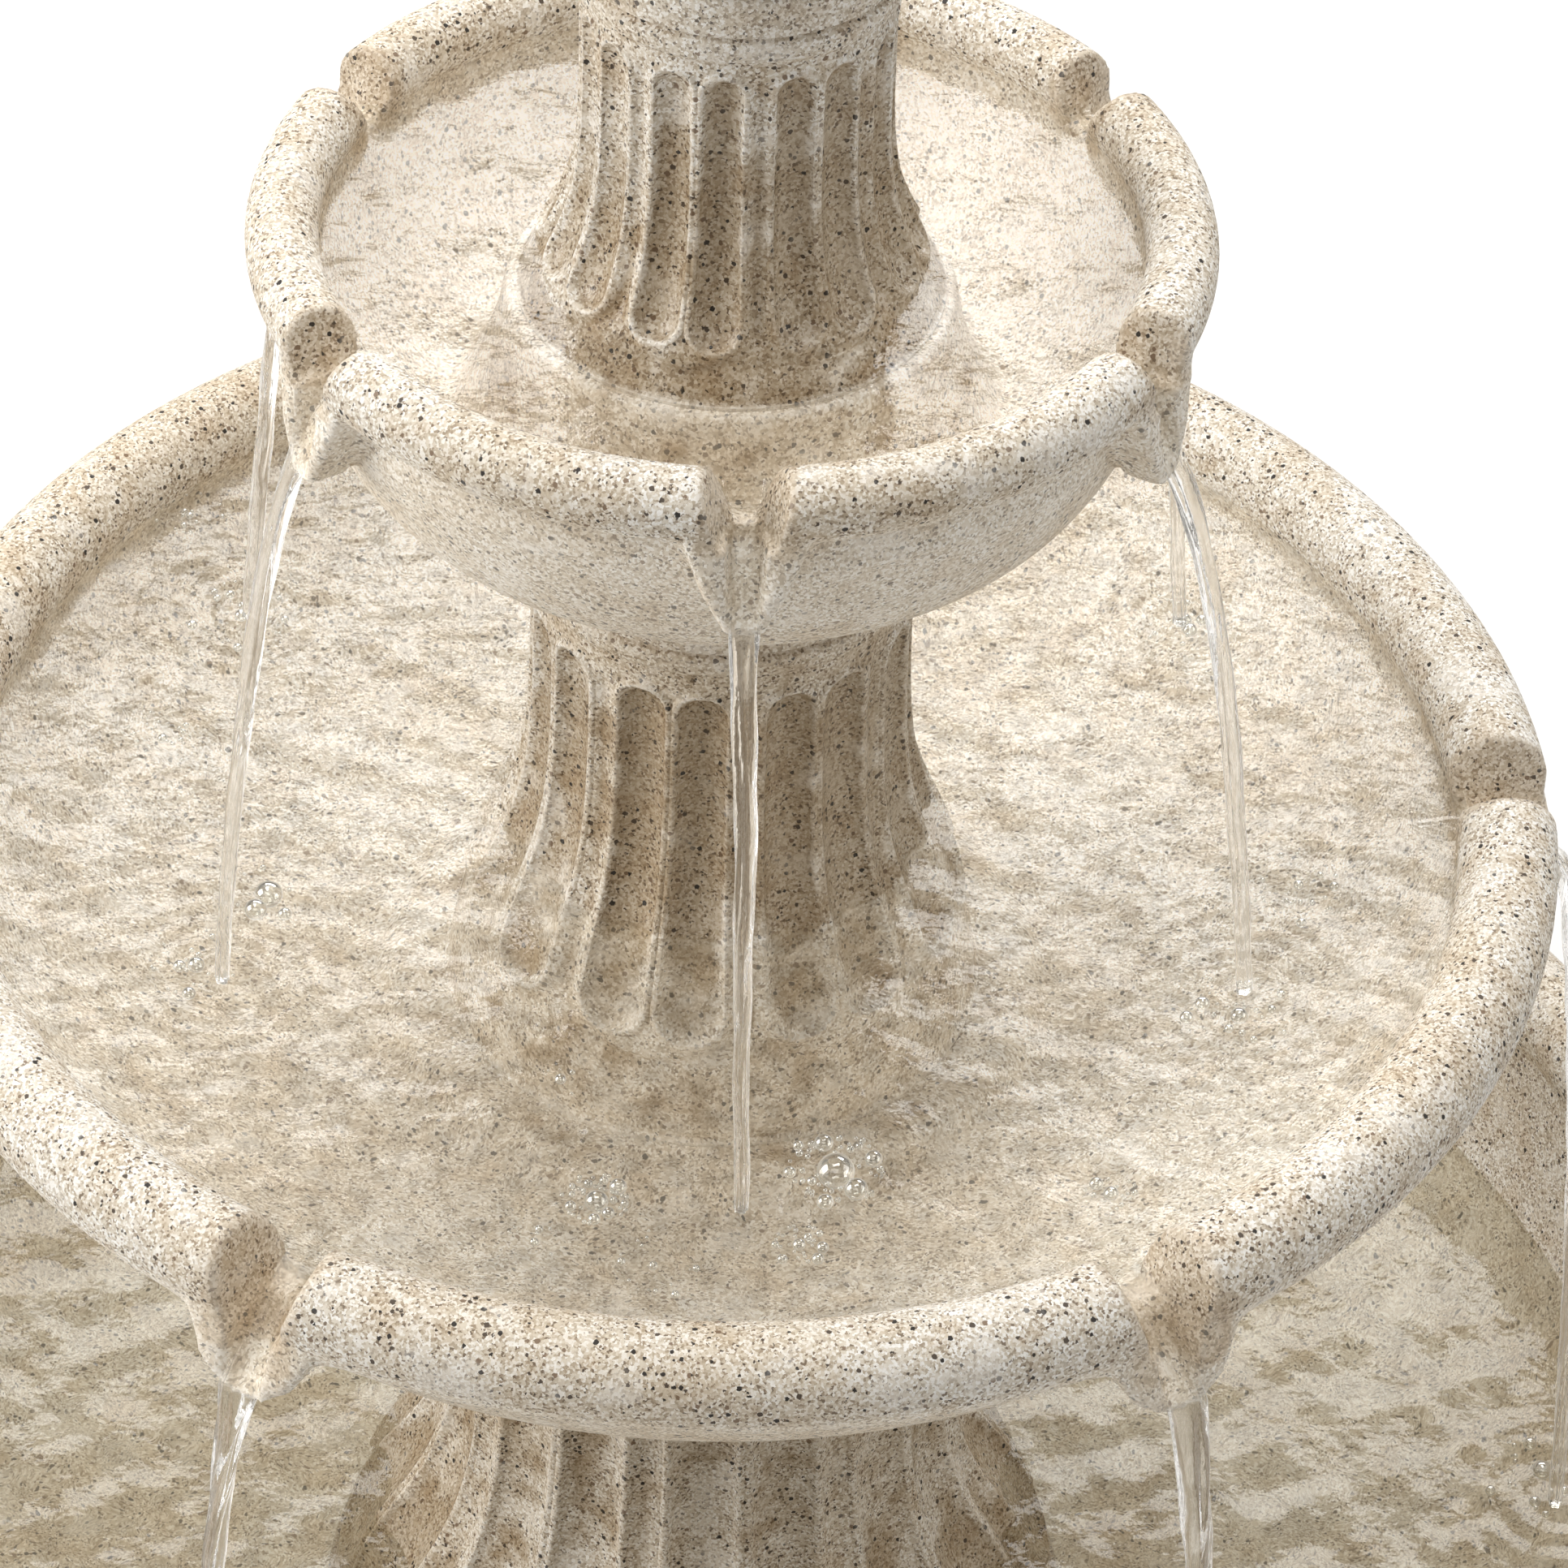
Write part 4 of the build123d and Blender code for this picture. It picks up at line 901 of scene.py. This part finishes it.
def stream(name, body, angle, landing, rim, tip, level, end_level, widths, twist, seed):
    """Water that slides through a notch, leaves the tip and falls, thinning as it goes.

    widths: half widths and half thicknesses on the stone, then half widths and half thicknesses
    after the tip and at the landing.
    """
    land_r, land_angle = landing
    path, n_slide = stream_path(land_r, rim, tip, level, end_level)
    n = len(path)
    k = np.arange(n)
    falling = np.clip((k - n_slide) / (n - 1 - n_slide), 0, None)
    sliding = np.clip(k / n_slide, 0, 1)
    slide_wide, slide_thick, fall_wide, fall_thick = widths

    def along_it(on_stone, in_air):
        on_stone = np.interp(sliding, [0, 0.3, 0.6, 1], on_stone), on_stone[3]
        return np.where(k < n_slide, on_stone[0], np.interp(falling, [0, 0.12, 1], (on_stone[1], *in_air)))

    wide, thick = along_it(slide_wide, fall_wide), along_it(slide_thick, fall_thick)
    pick = random.Random(seed)
    phase = [pick.uniform(0, 2 * math.pi) for _ in range(8)]
    drift = (land_angle - angle) * ease(falling, 0.0, 1.0)
    sway = 0.5 * ease(falling, 0.1, 1) * np.sin(11 * falling + phase[0])
    sway += 0.25 * ease(falling, 0.05, 1) * np.sin(29 * falling + phase[1])
    count = 36
    turn = np.radians(np.arange(count) * 360 / count)[None, :]
    spin = (twist * falling + 0.25 * np.sin(9 * falling + phase[2]))[:, None]
    far = path[:, 1][:, None]
    ripple = 1 + 0.10 * np.sin(5 * turn + phase[3] + 1.3 * np.sin(far / 19 + phase[4]))
    ripple += 0.06 * np.sin(8 * turn + phase[5] + 0.9 * np.sin(far / 11))
    ripple += 0.05 * np.sin(far / 5.3 + phase[6]) * ease(falling, 0, 0.3)[:, None]
    u = wide[:, None] * np.cos(turn) * ripple
    v = thick[:, None] * np.sin(turn) * ripple
    spun_u = u * np.cos(spin) - v * np.sin(spin)
    spun_v = u * np.sin(spin) + v * np.cos(spin)
    lean = np.gradient(path, axis=0)
    lean /= np.hypot(*lean.T)[:, None]
    side = np.stack([-lean[:, 1], lean[:, 0]], -1)
    rr = path[:, :1] + side[:, :1] * spun_v
    zz = path[:, 1:] + side[:, 1:] * spun_v
    a = np.radians(angle + drift)[:, None]
    across = spun_u + sway[:, None]
    x = rr * np.sin(a) + across * np.cos(a)
    y = -rr * np.cos(a) + across * np.sin(a)
    verts = np.stack([x, y, zz], -1).reshape(-1, 3) * MM
    faces = grid_faces(n, count).tolist()
    faces += [list(range(count - 1, -1, -1)), list(range((n - 1) * count, n * count))]
    mesh = mesh_from(name, verts, faces)
    store(mesh, "falling", np.repeat(ease(np.arange(n), n_slide - 5, n_slide + 6), count))
    obj = add_piece(name, mesh, POURING_WATER, body, sharp=80)
    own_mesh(obj)


UPPER_WIDTHS = ((8, 6.0, 4.6, 4.7), (0.7, 0.9, 1.4, 2.9), (4.3, 2.7), (3.2, 2.4))
LOWER_WIDTHS = ((12, 8.5, 6, 6.6), (0.9, 1.2, 1.8, 3.4), (5.6, 3.4), (3.9, 2.8))
for i in range(SPOUTS):
    stream(
        f"upper_stream_{i + 1}", "small_tier", SMALL_ANGLES[i], UPPER_LANDING[i],
        SMALL_RIM, SMALL_TIP, SMALL_WATER_Z, LARGE_WATER_Z, UPPER_WIDTHS, 1.2 - 0.5 * (i % 3), 40 + i,
    )
    stream(
        f"lower_stream_{i + 1}", "large_tier", LARGE_ANGLES[i], LOWER_LANDING[i],
        LARGE_RIM, LARGE_TIP, LARGE_WATER_Z, POOL_WATER_Z, LOWER_WIDTHS, 4.0 - 1.1 * (i % 4), 60 + i,
    )


def bubbles(name, body, level, clusters, seed):
    """Rafts of slightly flat bubbles that float where the streams land.

    A cluster gives its centre, how many bubbles it has, its reach, and their least and most radius.
    """
    pick = random.Random(seed)
    lats, lons, flatness = 9, 16, 0.9
    verts, faces = [], []
    for (cx, cy), count, spread, sizes in clusters:
        placed = []
        for _ in range(count * 12):
            if len(placed) >= count:
                break
            size = sizes[0] + (sizes[1] - sizes[0]) * pick.random() ** 3 if placed else sizes[1]
            far = spread * math.sqrt(pick.random()) if placed else 0.0
            heading = pick.uniform(0, 2 * math.pi)
            x, y = cx + far * math.cos(heading), cy + far * math.sin(heading)
            if any(math.hypot(x - a, y - b) < 0.93 * (size + c) for a, b, c in placed):
                continue
            placed.append((x, y, size))
        for x, y, size in placed:
            first = len(verts)
            middle = level - 0.25 * size
            verts.append((x, y, middle + flatness * size))
            for i in range(1, lats):
                tilt = math.pi * i / lats
                ring, z = size * math.sin(tilt), middle + flatness * size * math.cos(tilt)
                for j in range(lons):
                    turn = 2 * math.pi * j / lons
                    verts.append((x + ring * math.cos(turn), y + ring * math.sin(turn), z))
            verts.append((x, y, middle - flatness * size))
            last = len(verts) - 1
            for j in range(lons):
                k = (j + 1) % lons
                faces.append([first, first + 1 + j, first + 1 + k])
                faces.append([last, last - lons + k, last - lons + j])
                for i in range(lats - 2):
                    row = first + 1 + i * lons
                    faces.append([row + j, row + lons + j, row + lons + k, row + k])
    mesh = mesh_from(name, np.array(verts) * MM, faces)
    return add_piece(name, mesh, BUBBLE_FILM, body, sharp=80)


raft = [
    (spot(193, 13.2), 46, 17, (0.7, 6.6)),
    (spot(209, -10), 40, 12, (0.7, 4.0)),
    (spot(226, 8.1), 26, 9, (0.6, 2.2)),
    (spot(239, 35), 16, 9, (0.6, 2.6)),
    (spot(236, -4), 14, 16, (0.5, 1.6)),
    (spot(233, -14), 8, 10, (0.5, 1.5)),
    (spot(169, -69.9), 9, 14, (0.6, 5.2)),
    (spot(205, -62), 18, 16, (0.6, 3.0)),
    (spot(157, -18.9), 5, 9, (0.5, 2.0)),
    (spot(214, 79.7), 22, 22, (0.5, 1.9)),
    (spot(214, 60), 26, 20, (0.5, 3.1)),
    (spot(208, 122), 22, 18, (0.5, 3.0)),
    (spot(208, 182), 24, 18, (0.5, 3.4)),
    (spot(206, -118), 26, 20, (0.5, 2.6)),
    (spot(206, -96.7), 22, 16, (0.5, 1.8)),
    (spot(259, -127), 14, 14, (0.5, 1.4)),
]
bubbles("bowl_bubbles", "large_tier", LARGE_WATER_Z, raft, 3)
pool_rafts = [(spot(radius - 3, angle + 3), 26, 26, (0.7, 4.2)) for radius, angle in LOWER_LANDING]
bubbles("pool_bubbles", "root", POOL_WATER_Z, pool_rafts, 8)


# ---------------------------------------------------------------- studio
def floor():
    """A pale floor 14 m wide."""
    k = Look("studio_floor")
    tone = k.noise(1.3, 3.0)
    color = k.mix(k.fit(tone, 0.3, 0.7), (0.90, 0.90, 0.90), (0.93, 0.93, 0.925))
    k.set(Base_Color=color, Roughness=k.fit(tone, 0.3, 0.7, 0.85, 0.95))
    side = np.linspace(-7.0, 7.0, 9)
    verts = np.array([(x, y, 0.0) for y in side for x in side])
    corner = [9 * j + i for j in range(8) for i in range(8)]
    faces = [[c, c + 1, c + 10, c + 9] for c in corner]
    obj = bpy.data.objects.new("studio_floor", mesh_from("studio_floor", verts, faces))
    obj.data.materials.append(k.material)
    bpy.context.scene.collection.objects.link(obj)


def lamp(name, at, size, power, color):
    """A soft box that faces the middle of the fountain."""
    light = bpy.data.lights.new(name, "AREA")
    light.shape = "RECTANGLE"
    light.size, light.size_y = size
    light.energy = power
    light.color = color
    obj = bpy.data.objects.new(name, light)
    obj.location = at
    obj.rotation_euler = (Vector((0, 0, 0.5)) - Vector(at)).to_track_quat("-Z", "Y").to_euler()
    bpy.context.scene.collection.objects.link(obj)


floor()
lamp("overhead", (-0.1, 0.45, 3.2), (1.8, 1.8), 52, (1.0, 0.99, 0.975))
lamp("back_softbox", (0.25, 2.5, 2.36), (3.0, 0.72), 44, (1.0, 1.0, 1.0))
lamp("left_softbox", (-2.4, -0.2, 1.6), (1.6, 1.8), 50, (1.0, 0.975, 0.94))
lamp("right_softbox", (2.4, -0.2, 1.9), (1.6, 1.8), 12, (1.0, 0.975, 0.94))
lamp("front_fill", (-0.4, -1.9, 2.9), (2.4, 1.4), 14, (1.0, 0.975, 0.94))

world = bpy.data.worlds.new("studio")
bpy.context.scene.world = world
world.use_nodes = True
sky = world.node_tree.nodes["Background"]
sky.inputs[0].default_value = (1.0, 0.955, 0.89, 1)
sky.inputs[1].default_value = 0.17


def camera():
    """Looks down from in front, as fitted to the photograph: radians, metres, focal length in pixels."""
    pitch, yaw, roll = 0.7204, 0.01692, 0.0402
    level, fall = math.cos(pitch), -math.sin(pitch)
    forward = Vector((math.sin(yaw) * level, math.cos(yaw) * level, fall))
    flat = Vector((math.cos(yaw), -math.sin(yaw), 0))
    upright = flat.cross(forward)
    right = math.cos(roll) * flat + math.sin(roll) * upright
    up = -math.sin(roll) * flat + math.cos(roll) * upright
    data = bpy.data.cameras.new("camera")
    data.lens = 6499.227 * data.sensor_width / IMAGE_SIDE
    data.clip_end = 50
    obj = bpy.data.objects.new("camera", data)
    turn = Matrix((right, up, -forward)).transposed().to_4x4()
    obj.matrix_world = Matrix.Translation((0, -1.444413, 1.761656)) @ turn
    bpy.context.scene.collection.objects.link(obj)
    bpy.context.scene.camera = obj


camera()


bpy.context.scene.view_settings.view_transform = "Standard"
